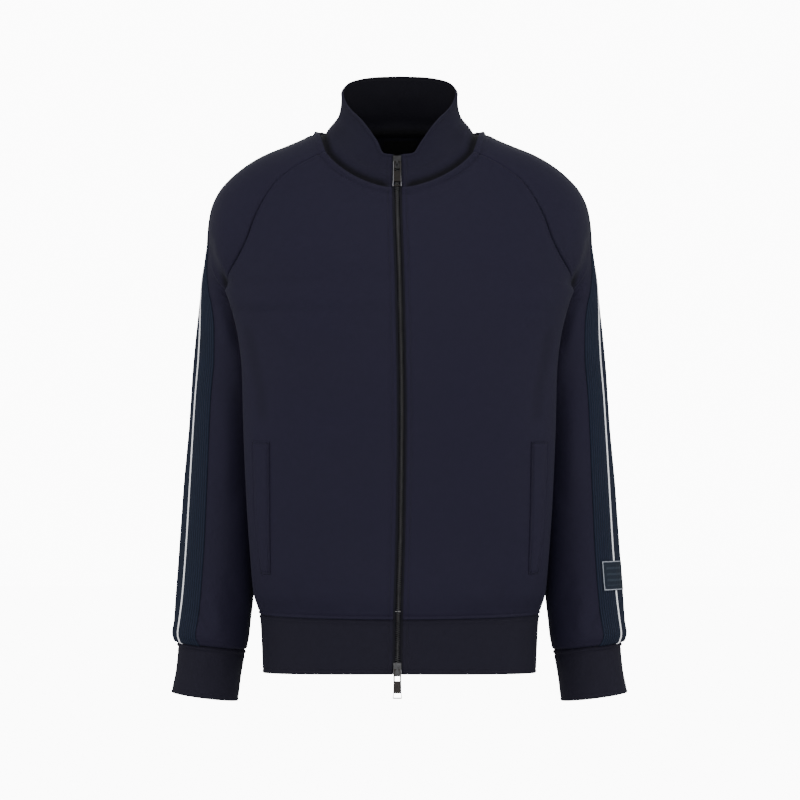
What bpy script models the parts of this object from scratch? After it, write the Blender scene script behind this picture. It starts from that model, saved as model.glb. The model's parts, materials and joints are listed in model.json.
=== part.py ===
"""A zipped stand-collar sweatshirt with raglan sleeves, filled out with nobody in it.

Metres, +Z up. The front faces -Y and the wearer's left is at +X. z = 0 is the high point of the
shoulders, where a neck carries the garment. Each cut and sewn piece is a cloth wall of its own: a grid
of outer points, thickened along the normals that it shares with its neighbours at the seams.
"""

import math

import bmesh
import bpy
import numpy as np

MM = 0.001  # the sizes and tables below are in millimetres, and the meshes are in metres

JERSEY = 2.0
RIB_KNIT = 2.4
COLLAR_CLOTH = 2.4
SEAM_GAP = 0.3
LIFT = 0.4  # what lies on a panel starts this far above it

SAME_SIDE = 0.3  # two pieces share their normals at a seam unless they meet in a sharp valley
SHARP_DEGREES = 40

FRONT_SQUARENESS = 2.3  # 2 is an ellipse, and more is squarer
BACK_SQUARENESS = 2.2
ARC_STEPS = 60
FOLD_STEPS = 24
FOLD_QUICKNESS = 1.35  # the fold is all in before it reaches the side seam
HALF_ROW_STEPS = 40

# The torso's level sections, for the half at +X. The front arc runs from the middle of the front to the
# widest point, the side then folds in behind the hanging sleeve, and the back arc ends at the middle back.
TORSO_COLUMNS = ("z", "front", "width", "width_y", "side", "side_y", "back_width", "back_width_y", "back")
TORSO = (
    (0, 46, 178, 0, 170, 2, 108, 5, 75),
    (-28, 68, 189, -3, 170, 3, 138, 15, 92),
    (-40, 77, 193, -5, 170, 4, 150, 22, 98),
    (-75, 95, 203, -11, 170, 6, 170, 38, 110),
    (-115, 112, 212, -20, 170, 8, 182, 50, 119),
    (-160, 126, 219, -30, 170, 10, 187, 60, 124),
    (-198, 133, 221, -38, 170, 12, 186, 70, 126),
    (-232, 137, 212, -48, 168, 12, 174, 78, 126),
    (-262, 138, 205, -52, 155, 14, 171, 84, 124),
    (-306, 138, 200, -54, 153, 16, 169, 88, 121),
    (-380, 134, 198, -54, 157, 18, 168, 88, 116),
    (-471, 129, 194, -54, 163, 16, 170, 84, 113),
    (-548, 125, 189, -48, 170, 10, 174, 66, 113),
    (-590, 124, 185.6, -30, 177.4, 4, 179.4, 36, 114),
    (-616, 119, 178.8, -8, 178.8, 0, 178.8, 8, 110),
    (-622, 117, 178, -8, 178, 0, 178, 8, 109),
    (-660, 116, 175.8, -8, 175.8, 0, 175.8, 8, 108),
    (-694, 115, 174.5, -8, 174.5, 0, 174.5, 8, 107),
)

# The side seam's levels from the hem up. The pocket runs between two of them.
POCKET_BOTTOM_Z = -561.5
POCKET_TOP_Z = -394.0
HEM_SEAM_SIDE_Z = -616.3
HEM_SEAM_MIDDLE_Z = -619.5
UNDERARM_Z = -232.0
SIDE_SEAM_LEVELS = (
    HEM_SEAM_SIDE_Z, -602, -585, POCKET_BOTTOM_Z, -520, -478, -436, POCKET_TOP_Z, -350, -305, -265,
)
HEM_LEVELS = ((-691.5, -687.5), (-667.0, -665.0), (-641.0, -642.0), (HEM_SEAM_SIDE_Z, HEM_SEAM_MIDDLE_Z))
NECK_FRONT_Z = -74.8
NECK_CURVE = 1.6
BACK_COLUMNS = 12

# The pocket's two edges, each on a column of the front panel.
TO_POCKET = 7
ACROSS_POCKET = 2
BEHIND_POCKET = 6
POCKET_COLUMNS = ("z", "inner", "outer")
POCKET = ((POCKET_BOTTOM_Z, 162.1, 175.7), (-473, 163.2, 184.2), (POCKET_TOP_Z, 163.8, 186.5))

# One row for each line of points round the open top of the sleeve, from the neck seam to the underarm.
# crown: the sleeve's outline from the front. front: the raglan seam, behind the torso's edge where
# tucked is 1. back: the seam at an x or, where fold_y isn't 0, on the torso's fold at that y. Each half
# turns by its angle from the crown. Depth 0 follows from the seam.
RAGLAN_COLUMNS = (
    "crown_x", "crown_y", "crown_z", "front_x", "front_z", "tucked", "front_turn", "front_depth",
    "back_x", "fold_y", "back_z", "back_turn", "back_depth",
)
RAGLAN = (
    (103.0, 5, 0, 93.5, -28.0, 0, 50, 0, 62, 0, 0, 60, 0),
    (123.5, 6, -10.2, 112.3, -36.2, 0, 55, 0, 79, 0, -13, 60, 0),
    (146.0, 7, -19.5, 136.7, -50.3, 0, 60, 0, 97, 0, -30, 62, 0),
    (171.0, 8, -29.4, 155.5, -65.3, 0, 65, 0, 114, 0, -50, 64, 0),
    (195.0, 9, -43.0, 170.5, -86.0, 0, 70, 0, 130, 0, -72, 68, 0),
    (216.0, 10, -60.0, 183.7, -112.4, 0, 76, 0, 146, 0, -97, 74, 0),
    (231.0, 11, -77.5, 193.0, -138.6, 0, 83, 0, 158, 0, -123, 82, 0),
    (240.6, 11, -99.8, 203.5, -160.0, 0, 90, 0, 167, 0, -148, 92, 0),
    (244.4, 12, -124.2, 218.0, -188.0, 0, 98, 0, 174, 0, -171, 100, 0),
    (245.4, 18, -140.0, 217.0, -202.0, 1, 90, 0, 178, 0, -192, 110, 62),
    (249.0, 24, -168.0, 203.5, -213.0, 1, 106, 43, 0, 66, -210, 135, 62),
    (252.5, 27, -196.0, 187.0, -223.0, 1, 130, 46, 0, 38, -222, 164, 60),
)

# The closed stretch of the sleeve below the underarm, ring by ring down to the cuff.
TUBE_COLUMNS = ("crown_x", "crown_z", "inner_x", "inner_z", "y", "front_depth", "back_depth")
TUBE = (
    (255.4, -219, 168.0, UNDERARM_Z, 30, 49, 60),
    (258.8, -250, 163.5, -257, 31, 55, 60),
    (262.7, -288, 165.0, -291, 32, 57, 61),
    (267.0, -335, 169.0, -336, 33, 58, 60),
    (271.0, -385, 172.5, -385, 33, 58, 59),
    (275.0, -435, 176.5, -435, 32, 57, 58),
    (278.5, -485, 180.0, -485, 30, 56, 56),
    (281.5, -530, 183.0, -530, 26, 54, 54),
    (283.9, -566, 185.5, -566, 22, 53, 53),
    (286.1, -596, 187.5, -597, 18, 52, 52),
    (288.6, -622, 190.7, -626, 15, 51, 51),
    (289.9, -641, 193.0, -648, 12, 50, 50),
    (285.2, -653, 197.0, -663, 11, 44, 44),
)
CUFF = (
    (285.2, -653, 197.0, -663, 11, 44, 44),
    (284.2, -663, 198.5, -671, 10, 42.5, 42.5),
    (286.5, -688, 203.0, -697, 7, 42, 42),
    (292.2, -717.0, 206.7, -728, 3, 42.5, 42.5),
)

# The ribbed band lies down the outside of the sleeve. Its middle is this far round from the crown.
BAND_HALF_WIDTH = 29.0
BAND_LIFT = 0.6
BAND_CLOTH = 0.9
BAND_RIBS = 12
RIB_HEIGHT = 0.5
BAND_TOP_ROW = 0.3
BAND_END_GAP = 0.15  # in rows of the sleeve, above the cuff
BACK_OF_BAND = 7
ACROSS_BAND = 4
FRONT_OF_BAND = 7
BAND_MIDDLE_COLUMN = BACK_OF_BAND + ACROSS_BAND // 2
COLUMN_WIDTH = 2 * BAND_HALF_WIDTH / ACROSS_BAND
CLOSED_FROM = len(RAGLAN)
BAND_COLUMNS = ("crown_z", "round")
BAND_MIDDLE = (
    (0, -30), (-29, -33), (-60, -33), (-100, -31), (-124, -29), (-142, -22), (-165, -9), (-189, 2),
    (-219, 15), (-250, 25), (-291, 31), (-349, 32.5), (-407, 34.5), (-445, 35.5), (-484, 36), (-560, 35),
    (-612, 33), (-641, 30), (-653, 28),
)
PIPING_WIDTH = 2.4
PIPING_HEIGHT = 1.2
PIPING_SHOULDER = 0.6
PIPING_LIFT = BAND_LIFT + BAND_CLOTH + SEAM_GAP
PATCH_HALF_WIDTH = 21.5
PATCH_LEVELS = (-548.5, -586.5)
PATCH_CLOTH = 1.0
PATCH_LIFT = PIPING_LIFT + PIPING_HEIGHT + SEAM_GAP

# The collar's rim, for the half at +X, against the share of the way round from the zip to the middle back.
RIM_COLUMNS = ("round", "x", "y", "z")
RIM = (
    (0.00, 6.0, -75, -32.5),
    (0.07, 19.5, -72, -30.5),
    (0.17, 31, -60, -13),
    (0.27, 43, -44, 4.5),
    (0.37, 53, -27, 17),
    (0.47, 63.5, -8, 28),
    (0.56, 70.5, 9, 38),
    (0.67, 75, 27, 52.5),
    (0.79, 67.5, 48, 65.5),
    (0.88, 53, 56.5, 71.5),
    (0.95, 29, 61, 75),
    (1.00, 0, 62, 76),
)
COLLAR_ROWS = (0.0, 0.14, 0.34, 0.64, 1.0)
ZIP_SHARE = 0.17  # the rim follows the zip's own place over this share of the way round
COLLAR_FLARE_COLUMNS = ("round", "power")
COLLAR_FLARE = ((0, 1.5), (0.25, 2.1), (0.5, 3.4), (0.75, 2.8), (1, 2.2))

# The zip. Its middle bows a little to the wearer's left on the way down.
ZIP_EDGE = 6.0
ZIP_BOW_COLUMNS = ("z", "x")
ZIP_BOW = ((-10, -3.0), (-75, -3.0), (-200, 0.5), (-360, 3.0), (-500, 1.5), (-620, -1.8), (-694, -2.8))
TAPE_INNER = 3.1
TAPE_OUTER = 13.0
TAPE_CLOTH = 0.8
CHAIN_HALF_WIDTH = 2.8
CHAIN_PROUD = 1.0
CHAIN_DEPTH = 2.6

# The chain runs from slider to slider. Heights in a slider count out from the garment's surface.
CHAIN_TOP_Z = -41.9
CHAIN_BOTTOM_Z = -681.5
TOP_SLIDER_Z = -42.4
BOTTOM_SLIDER_Z = -681.0
TAPE_DEPTH = COLLAR_CLOTH + 2 * SEAM_GAP
SLIDER_HALF_LENGTH = 8.5
SLIDER_HALF_WIDTH = 5.0
PLATE = 1.3
CHAIN_PLAY = 0.55
WEDGE_LENGTH = 3.8
WEDGE_HALF_WIDTH = 1.6
WEDGE_SETBACK = 0.4
ARCH_HALF_LENGTH = 4.6
ARCH_HALF_WIDTH = 1.3
ARCH_LEG = 1.2
ARCH_TOP = 3.7
ARCH_BAR = 1.0
PIVOT_HEIGHT = 1.2

# A pull, from its eye on the slider's arch down to its open frame. open: a hole runs down to the next row.
PULL_LENGTH = 36.4
PULL_HALF_THICKNESS = 0.6
PULL_CLEARANCE = 0.8
EYE_BAR = 0.8
PULL_COLUMNS = ("along", "half_width", "half_hole", "open")
PULL = (
    (EYE_BAR, 4.4, 3.1, False),
    (-EYE_BAR, 4.9, 3.1, True),
    (-14.2, 4.9, 3.1, False),
    (-29.6, 5.2, 4.4, True),
    (-34.9, 5.8, 4.7, False),
    (-PULL_LENGTH, 5.5, 4.7, False),
)

LABEL_CLOTH = 1.0
LABEL_X = (-20.0, -9.0, 2.0, 13.0, 24.0)
LABEL_Z = (-33.0, -20.0, -7.0)

COLOURS = {
    "jersey": (0.016, 0.016, 0.028, 0.9, 0.0),
    "rib": (0.014, 0.014, 0.022, 0.95, 0.0),
    "band": (0.008, 0.014, 0.028, 0.8, 0.0),
    "piping": (0.8, 0.8, 0.85, 0.7, 0.0),
    "patch": (0.02, 0.03, 0.05, 0.8, 0.0),
    "label": (0.006, 0.006, 0.007, 0.7, 0.0),
    "tape": (0.02, 0.02, 0.025, 0.9, 0.0),
    "metal": (0.35, 0.35, 0.36, 0.35, 1.0),
}


def smooth(stations, values, at):
    """A cubic through the stations, rising, that doesn't overshoot them."""
    at = np.clip(at, stations[0], stations[-1])
    step = np.diff(stations)
    slope = np.diff(values) / step
    bend = np.zeros(len(stations))
    bend[0], bend[-1] = slope[0], slope[-1]
    rising = slope[:-1] * slope[1:] > 0
    before, after = slope[:-1][rising], slope[1:][rising]
    first = (2 * step[1:] + step[:-1])[rising]
    second = (step[1:] + 2 * step[:-1])[rising]
    bend[1:-1][rising] = (first + second) / (first / before + second / after)
    i = np.clip(np.searchsorted(stations, at) - 1, 0, len(step) - 1)
    t = (at - stations[i]) / step[i]
    ends = values[i] * (1 + 2 * t) * (1 - t) ** 2 + values[i + 1] * t * t * (3 - 2 * t)
    return ends + step[i] * t * (1 - t) * (bend[i] * (1 - t) - bend[i + 1] * t)


class Profile:
    """A short table read as smooth curves against its first column."""

    def __init__(self, columns, rows):
        self.columns = columns
        self.rows = np.array(sorted(rows), float)

    def __call__(self, name, at):
        return smooth(self.rows[:, 0], self.rows[:, self.columns.index(name)], at)


torso = Profile(TORSO_COLUMNS, TORSO)
pocket = Profile(POCKET_COLUMNS, POCKET)
band_middle = Profile(BAND_COLUMNS, BAND_MIDDLE)
rim = Profile(RIM_COLUMNS, RIM)
collar_flare = Profile(COLLAR_FLARE_COLUMNS, COLLAR_FLARE)
zip_bow = Profile(ZIP_BOW_COLUMNS, ZIP_BOW)


def lengths(line):
    """The distance along a line of points, at each of them."""
    return np.concatenate([[0.0], np.cumsum(np.linalg.norm(np.diff(line, axis=0), axis=1))])


def read_line(line, distances, at):
    """The points of a line at these distances along it."""
    return np.stack([np.interp(at, distances, line[:, k]) for k in range(line.shape[1])], axis=-1)


def half_section(z, back=False):
    """(x, y) from the middle of the front, or of the back, round to the side seam, at one level."""
    squareness = BACK_SQUARENESS if back else FRONT_SQUARENESS
    prefix = "back_" if back else ""
    width, width_y = torso(prefix + "width", z), torso(prefix + "width_y", z)
    middle = torso("back", z) if back else -torso("front", z)
    turn = np.linspace(0, math.pi / 2, ARC_STEPS)
    x = width * np.sin(turn) ** (2 / squareness)
    y = width_y + (middle - width_y) * np.cos(turn) ** (2 / squareness)
    t = np.linspace(0, 1, FOLD_STEPS)[1:]
    soon = np.minimum(t * FOLD_QUICKNESS, 1)
    ease = soon**3 * (10 - 15 * soon + 6 * soon * soon)
    fold_x = width + (torso("side", z) - width) * ease
    fold_y = width_y + (torso("side_y", z) - width_y) * t
    return np.stack([np.append(x, fold_x), np.append(y, fold_y)], axis=-1)


def torso_point(z, share, back=False):
    """The torso's surface at a level, at a share of the way from the middle to the side seam."""
    line = half_section(z, back)
    distances = lengths(line)
    x, y = read_line(line, distances, share * distances[-1])
    return np.array([x, y, z])


def share_at_x(z, x, back=False, tucked=False):
    """How far round the torso lies at x, on the arc or, tucked, on the fold behind it."""
    line = half_section(z, back)
    distances = lengths(line) / lengths(line)[-1]
    if tucked:
        return np.interp(-x, -line[ARC_STEPS - 1 :, 0], distances[ARC_STEPS - 1 :])
    return np.interp(x, line[:ARC_STEPS, 0], distances[:ARC_STEPS])


def share_on_fold(z, y):
    """How far round from the middle back the side's fold reaches y."""
    line = half_section(z, back=True)
    distances = lengths(line) / lengths(line)[-1]
    return np.interp(-y, -line[ARC_STEPS - 1 :, 1], distances[ARC_STEPS - 1 :])


def raglan_rows():
    """One dictionary for each row of the table, with its seam points on the torso's surface."""
    rows = []
    for values in RAGLAN:
        row = dict(zip(RAGLAN_COLUMNS, values))
        row["front_share"] = share_at_x(row["front_z"], row["front_x"], tucked=row["tucked"])
        row["front_end"] = torso_point(row["front_z"], row["front_share"])
        if row["fold_y"]:
            row["back_share"] = share_on_fold(row["back_z"], row["fold_y"])
        else:
            row["back_share"] = share_at_x(row["back_z"], row["back_x"], back=True)
        row["back_end"] = torso_point(row["back_z"], row["back_share"], back=True)
        row["crown"] = np.array([row["crown_x"], row["crown_y"], row["crown_z"]])
        rows.append(row)
    return rows


RAGLAN_ROWS = raglan_rows()

def half_row(crown, end, turn, depth, forward, tucked=0):
    """Points from the sleeve's crown round to the end of a row. A tucked row drops first, then runs in."""
    turn = math.radians(turn)
    side = -1 if forward else 1
    depth = depth or abs(end[1] - crown[1]) / math.sin(turn)
    angle = np.linspace(0, turn, HALF_ROW_STEPS)
    across = ((1 - np.cos(angle)) / (1 - math.cos(turn)))[:, None]
    points = crown + (end - crown) * across
    points[:, 2] = crown[2] + (end[2] - crown[2]) * (1 - (1 - across[:, 0]) ** (1 + tucked))
    missing = end[1] - (crown[1] + side * depth * math.sin(turn))
    points[:, 1] = crown[1] + side * depth * np.sin(angle) + missing * (angle / turn) ** 2
    return points


def sleeve_lines():
    """For each row of the sleeve: its dense line of points from back to front, and where its crown is."""
    halves = []
    for row in RAGLAN_ROWS:
        crown, tucked = row["crown"], row["tucked"]
        front = half_row(crown, row["front_end"], row["front_turn"], row["front_depth"], True, tucked)
        drop = 1 if row["fold_y"] else 0
        back = half_row(crown, row["back_end"], row["back_turn"], row["back_depth"], False, drop)
        halves.append((back, front))
    halves += ring_halves(TUBE)
    return halves


def ring_halves(table):
    """The back and front halves of closed rings, each from the crown to the inner seam."""
    halves = []
    for values in table:
        ring = dict(zip(TUBE_COLUMNS, values))
        crown = np.array([ring["crown_x"], ring["y"], ring["crown_z"]])
        inner = np.array([ring["inner_x"], ring["y"], ring["inner_z"]])
        if ring["inner_z"] == UNDERARM_Z:
            inner = torso_point(UNDERARM_Z, 1.0)
        back = half_row(crown, inner, 180, ring["back_depth"], False)
        halves.append((back, half_row(crown, inner, 180, ring["front_depth"], True)))
    return halves


def sleeve_row(back, front):
    """One row of the sleeve's grid, from its back edge to its front edge, with the band's columns in it."""
    line = np.concatenate([back[:0:-1], front])
    distances = lengths(line)
    crown_at = distances[len(back) - 1]
    middle = crown_at + band_middle("round", front[0][2])
    stops = (0, middle - BAND_HALF_WIDTH, middle + BAND_HALF_WIDTH, distances[-1])
    counts = (BACK_OF_BAND, ACROSS_BAND, FRONT_OF_BAND)
    at = [np.linspace(a, b, n + 1)[:-1] for a, b, n in zip(stops, stops[1:], counts)]
    return read_line(line, distances, np.append(np.concatenate(at), distances[-1]))


def sleeve_grid():
    return np.array([sleeve_row(back, front) for back, front in sleeve_lines()])


def cuff_grid():
    """The cuff's top ring is the sleeve's last row, and the others keep its columns' shares."""
    top = sleeve_grid()[-1]
    shares = lengths(top) / lengths(top)[-1]
    rows = [top]
    for back, front in ring_halves(CUFF[1:]):
        line = np.concatenate([back[:0:-1], front])
        distances = lengths(line)
        rows.append(read_line(line, distances, shares * distances[-1]))
    return np.array(rows)


def front_across(level):
    """How far across a front panel each of its columns lies at a level, with the pocket's edges on two."""
    level = min(max(level, POCKET_BOTTOM_Z), POCKET_TOP_Z)
    start = share_at_x(level, ZIP_EDGE)
    edges = [(share_at_x(level, pocket(edge, level)) - start) / (1 - start) for edge in ("inner", "outer")]
    knots = [0, *edges, 1]
    counts = (TO_POCKET, ACROSS_POCKET, BEHIND_POCKET)
    across = [np.linspace(a, b, n + 1)[:-1] for a, b, n in zip(knots, knots[1:], counts)]
    return np.append(np.concatenate(across), 1.0)


def front_row(middle_z, edge_z, edge_share, side):
    """One row of a front panel, as if at +X, from the zip to its far edge."""
    zip_share = share_at_x(middle_z, ZIP_EDGE + side * zip_bow("x", middle_z))
    across = front_across(edge_z)
    levels = middle_z + (edge_z - middle_z) * across**NECK_CURVE
    shares = zip_share + (edge_share - zip_share) * across
    return [torso_point(z, share) for z, share in zip(levels, shares)]


def back_row(middle_z, edge_z, edge_share):
    """One row of the back, for the half at +X, from the middle to its far edge."""
    across = np.linspace(0, 1, BACK_COLUMNS + 1)
    levels = middle_z + (edge_z - middle_z) * across**NECK_CURVE
    return [torso_point(z, edge_share * u, back=True) for z, u in zip(levels, across)]


def panel_levels(part, neck_z):
    """For each row of a panel: its level at the middle, its level at the far edge, and that edge's share."""
    seam = [*SIDE_SEAM_LEVELS, UNDERARM_Z]
    drop = HEM_SEAM_MIDDLE_Z - HEM_SEAM_SIDE_Z
    rows = [(z + drop * (1 - i / (len(seam) - 1)), z, 1.0) for i, z in enumerate(seam)]
    middles = np.linspace(UNDERARM_Z, neck_z, len(RAGLAN_ROWS) + 1)[1:]
    for middle_z, row in zip(middles, reversed(RAGLAN_ROWS)):
        rows.append((middle_z, row[part + "_z"], row[part + "_share"]))
    return rows


def front_grid(side):
    return np.array([front_row(*levels, side) for levels in panel_levels("front", NECK_FRONT_Z)])


def mirrored(grid):
    """The same grid on the other side, its columns turned round so that it still faces outwards."""
    return grid[:, ::-1] * (-1, 1, 1)


def whole(half_plus, half_minus):
    """A grid from the edge at +X round the back to the edge at -X, from two halves that end at the middle."""
    return np.concatenate([half_plus, mirrored(half_minus)[:, 1:]], axis=1)


def back_grid():
    half = np.array([back_row(*levels) for levels in panel_levels("back", 0.0)])
    return whole(half[:, ::-1], half[:, ::-1])


def half_collar(side):
    """Half the collar from the zip to the middle back: rows from the neck seam up to the rim."""
    front = front_row(*panel_levels("front", NECK_FRONT_Z)[-1], side)
    shoulder = sleeve_row(*sleeve_lines()[0])[::-1]
    back = back_row(*panel_levels("back", 0.0)[-1])[::-1]
    base = np.concatenate([front, shoulder[1:], back[1:]])
    share = lengths(base) / lengths(base)[-1]
    top = np.stack([rim("x", share), rim("y", share), rim("z", share)], axis=-1)
    top[:, 0] += (base[0, 0] - top[0, 0]) * np.clip(1 - share / ZIP_SHARE, 0, 1)
    rows = []
    for height in COLLAR_ROWS:
        inward = (1 - (1 - height) ** collar_flare("power", share))[:, None]
        row = base + (top - base) * inward
        row[:, 2] = base[:, 2] + (top[:, 2] - base[:, 2]) * height
        rows.append(row)
    return np.array(rows)


def half_hem(side):
    """Half the hem band from the zip to the middle back: rows from the folded edge up to the seam."""
    rows = []
    for side_z, middle_z in HEM_LEVELS:
        front = front_row(middle_z, side_z, 1.0, side)
        back = back_row(middle_z, side_z, 1.0)
        rows.append(np.concatenate([front, back[::-1][1:]]))
    return np.array(rows)


class Sheet:
    """A cloth piece: a grid of outer points facing outwards, and the edges where it is sewn to others."""

    def __init__(self, name, grid, thickness, finish, sewn, closed_from=None):
        self.name = name
        self.grid = grid
        self.thickness = thickness
        self.finish = finish
        self.sewn = sewn
        self.rows, self.columns = grid.shape[:2]
        self.closed_from = self.rows if closed_from is None else closed_from
        self.normals = None
        self.in_valley = None

    def at(self, i, j):
        """The number of a grid point. In the closed rows the last column is the first."""
        if i >= self.closed_from and j == self.columns - 1:
            j = 0
        return i * self.columns + j

    def quads(self):
        for i in range(self.rows - 1):
            for j in range(self.columns - 1):
                yield self.at(i, j), self.at(i, j + 1), self.at(i + 1, j + 1), self.at(i + 1, j)

    def set_back(self):
        """The grid with its sewn edges drawn back by half a seam gap, within the cloth."""
        moved = self.grid.copy()
        last = (self.rows - 1, self.columns - 1)
        for i in range(self.rows):
            for j in range(self.columns):
                steps = []
                if i == 0 and "first_row" in self.sewn:
                    steps.append((1, 0))
                if i == last[0] and "last_row" in self.sewn:
                    steps.append((-1, 0))
                if i <= self.closed_from:
                    if j == 0 and "first_column" in self.sewn:
                        steps.append((0, 1))
                    if j == last[1] and "last_column" in self.sewn:
                        steps.append((0, -1))
                if i == self.closed_from > 0 and j in (0, last[1]):
                    steps = []
                for step in steps:
                    moved[i, j] += self.inward(i, j, step) * SEAM_GAP / 2
                if self.in_valley[i, j]:
                    moved[i, j] -= self.normals[i, j] * SEAM_GAP
        return moved

    def inward(self, i, j, step):
        """The direction in the cloth that leaves an edge squarely."""
        into = self.grid[i + step[0], j + step[1]] - self.grid[i, j]
        if step[0]:
            before, after = self.grid[i, max(j - 1, 0)], self.grid[i, min(j + 1, self.columns - 1)]
        else:
            before, after = self.grid[max(i - 1, 0), j], self.grid[min(i + 1, self.rows - 1), j]
        tangent = (after - before) / np.linalg.norm(after - before)
        into = into - tangent * (into @ tangent)
        return into / np.linalg.norm(into)


def spot(point):
    """A key that the same point has in each sheet that it belongs to."""
    return tuple(np.round(point, 2) + 0.0)


def unit(vector):
    return vector / np.linalg.norm(vector)


def share_normals(sheets):
    """Gives each sheet's points the normals of the whole garment, the same on both sides of a seam."""
    total = {}
    for sheet in sheets:
        points = sheet.grid.reshape(-1, 3)
        for a, b, c, d in sheet.quads():
            normal = np.cross(points[c] - points[a], points[d] - points[b])
            for corner in (a, b, c, d):
                here = total.setdefault(spot(points[corner]), {})
                here[sheet.name] = here.get(sheet.name, 0) + normal
    for sheet in sheets:
        normals, in_valley = [], []
        for key in map(spot, sheet.grid.reshape(-1, 3)):
            own = unit(total[key][sheet.name])
            shared = [normal for normal in total[key].values() if unit(normal) @ own > SAME_SIDE]
            normals.append(unit(sum(shared)))
            in_valley.append(len(shared) < len(total[key]))
        sheet.normals = np.array(normals).reshape(sheet.grid.shape)
        sheet.in_valley = np.array(in_valley).reshape(sheet.grid.shape[:2])


def material_for(finish):
    """The material of a finish, made once."""
    if finish in bpy.data.materials:
        return bpy.data.materials[finish]
    red, green, blue, roughness, metallic = COLOURS[finish]
    material = bpy.data.materials.new(finish)
    material.use_nodes = True
    shader = material.node_tree.nodes["Principled BSDF"]
    shader.inputs["Base Color"].default_value = (red, green, blue, 1.0)
    shader.inputs["Roughness"].default_value = roughness
    shader.inputs["Metallic"].default_value = metallic
    return material


def add_object(name, mesh_tools, finish):
    """Turns a bmesh into a smooth-shaded object in the scene."""
    loose = [vertex for vertex in mesh_tools.verts if not vertex.link_faces]
    bmesh.ops.delete(mesh_tools, geom=loose, context="VERTS")
    mesh = bpy.data.meshes.new(name)
    mesh_tools.to_mesh(mesh)
    mesh_tools.free()
    mesh.materials.append(material_for(finish))
    mesh.shade_smooth()
    mesh.set_sharp_from_angle(angle=math.radians(SHARP_DEGREES))
    thing = bpy.data.objects.new(name, mesh)
    bpy.context.scene.collection.objects.link(thing)
    return thing


def shorter_first(points, a, b, c, d):
    """Whether the diagonal from a to c is the shorter one."""
    return np.linalg.norm(points[a] - points[c]) <= np.linalg.norm(points[b] - points[d])


def split(points, a, b, c, d):
    """The two triangles of a quad, cut along its shorter diagonal."""
    if shorter_first(points, a, b, c, d):
        return (a, b, c), (a, c, d)
    return (a, b, d), (b, c, d)


def thicken(name, outer, inner, quads, finish):
    """A closed wall between two sets of points that share their faces."""
    tools = bmesh.new()
    top = [tools.verts.new(p * MM) for p in outer]
    bottom = [tools.verts.new(p * MM) for p in inner]
    edges = set()
    for a, b, c, d in quads:
        for corners in split(outer, a, b, c, d):
            tools.faces.new([top[k] for k in corners])
            tools.faces.new([bottom[k] for k in reversed(corners)])
        edges.update([(a, b), (b, c), (c, d), (d, a)])
    for a, b in sorted(edges):
        if (b, a) not in edges:
            tools.faces.new([top[b], top[a], bottom[a]])
            tools.faces.new([top[b], bottom[a], bottom[b]])
    return add_object(name, tools, finish)


def make_wall(sheet):
    outer = sheet.set_back()
    inner = outer - sheet.normals * sheet.thickness
    thicken(sheet.name, outer.reshape(-1, 3), inner.reshape(-1, 3), list(sheet.quads()), sheet.finish)


def zipper_faces(tools, first, second):
    """Fills the strip between two lines of vertices that have different counts."""
    i = j = 0
    while i < len(first) - 1 or j < len(second) - 1:
        next_first = (i + 1) / (len(first) - 1)
        next_second = (j + 1) / (len(second) - 1)
        if j == len(second) - 1 or (i < len(first) - 1 and next_first <= next_second):
            tools.faces.new([first[i + 1], first[i], second[j]])
            i += 1
        else:
            tools.faces.new([first[i], second[j], second[j + 1]])
            j += 1


def ribbed_slab(name, outer, inner, finish):
    """A closed piece between two grids with the same rows, where the outer one has more columns."""
    tools = bmesh.new()
    top = [[tools.verts.new(p * MM) for p in row] for row in outer]
    bottom = [[tools.verts.new(p * MM) for p in row] for row in inner]
    for points, grid, step in ((outer, top, 1), (inner, bottom, -1)):
        for i in range(len(grid) - 1):
            for j in range(len(grid[0]) - 1):
                for corners in split(points, (i, j), (i, j + 1), (i + 1, j + 1), (i + 1, j)):
                    tools.faces.new([grid[row][column] for row, column in corners[::step]])
    for i in range(len(top) - 1):
        zipper_faces(tools, [top[i + 1][0], top[i][0]][::-1], [bottom[i + 1][0], bottom[i][0]][::-1])
        zipper_faces(tools, [top[i + 1][-1], top[i][-1]], [bottom[i + 1][-1], bottom[i][-1]])
    zipper_faces(tools, top[0], bottom[0])
    zipper_faces(tools, top[-1][::-1], bottom[-1][::-1])
    bmesh.ops.recalc_face_normals(tools, faces=tools.faces)
    return add_object(name, tools, finish)


def read_sheet(sheet, row, column):
    """The point and the normal at a place between a sheet's rows and columns, on its triangles."""
    i, j = min(int(row), sheet.rows - 2), min(int(column), sheet.columns - 2)
    v, u = row - i, column - j
    a, b, c, d = (i, j), (i, j + 1), (i + 1, j + 1), (i + 1, j)
    if shorter_first(sheet.grid, a, b, c, d):
        weights = {a: 1 - u, b: u - v, c: v} if u >= v else {a: 1 - v, d: v - u, c: u}
    elif u + v <= 1:
        weights = {a: 1 - u - v, b: u, d: v}
    else:
        weights = {c: u + v - 1, b: 1 - v, d: 1 - u}
    point = sum(w * sheet.grid[corner] for corner, w in weights.items())
    normal = sum(w * sheet.normals[corner] for corner, w in weights.items())
    return point, unit(normal)


def lifted(sheet, rows, columns, heights):
    """Points above a sheet: one height for each column."""
    grid = []
    for row in rows:
        places = [read_sheet(sheet, row, column) for column in columns]
        grid.append([point + normal * height for (point, normal), height in zip(places, heights)])
    return np.array(grid)


def laid_on(name, sheet, rows, columns, lift, height, finish):
    """A flat piece that lies on a sheet."""
    inner = lifted(sheet, rows, columns, [lift] * len(columns))
    outer = lifted(sheet, rows, columns, [lift + height] * len(columns))
    ribbed_slab(name, outer, inner, finish)


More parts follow.
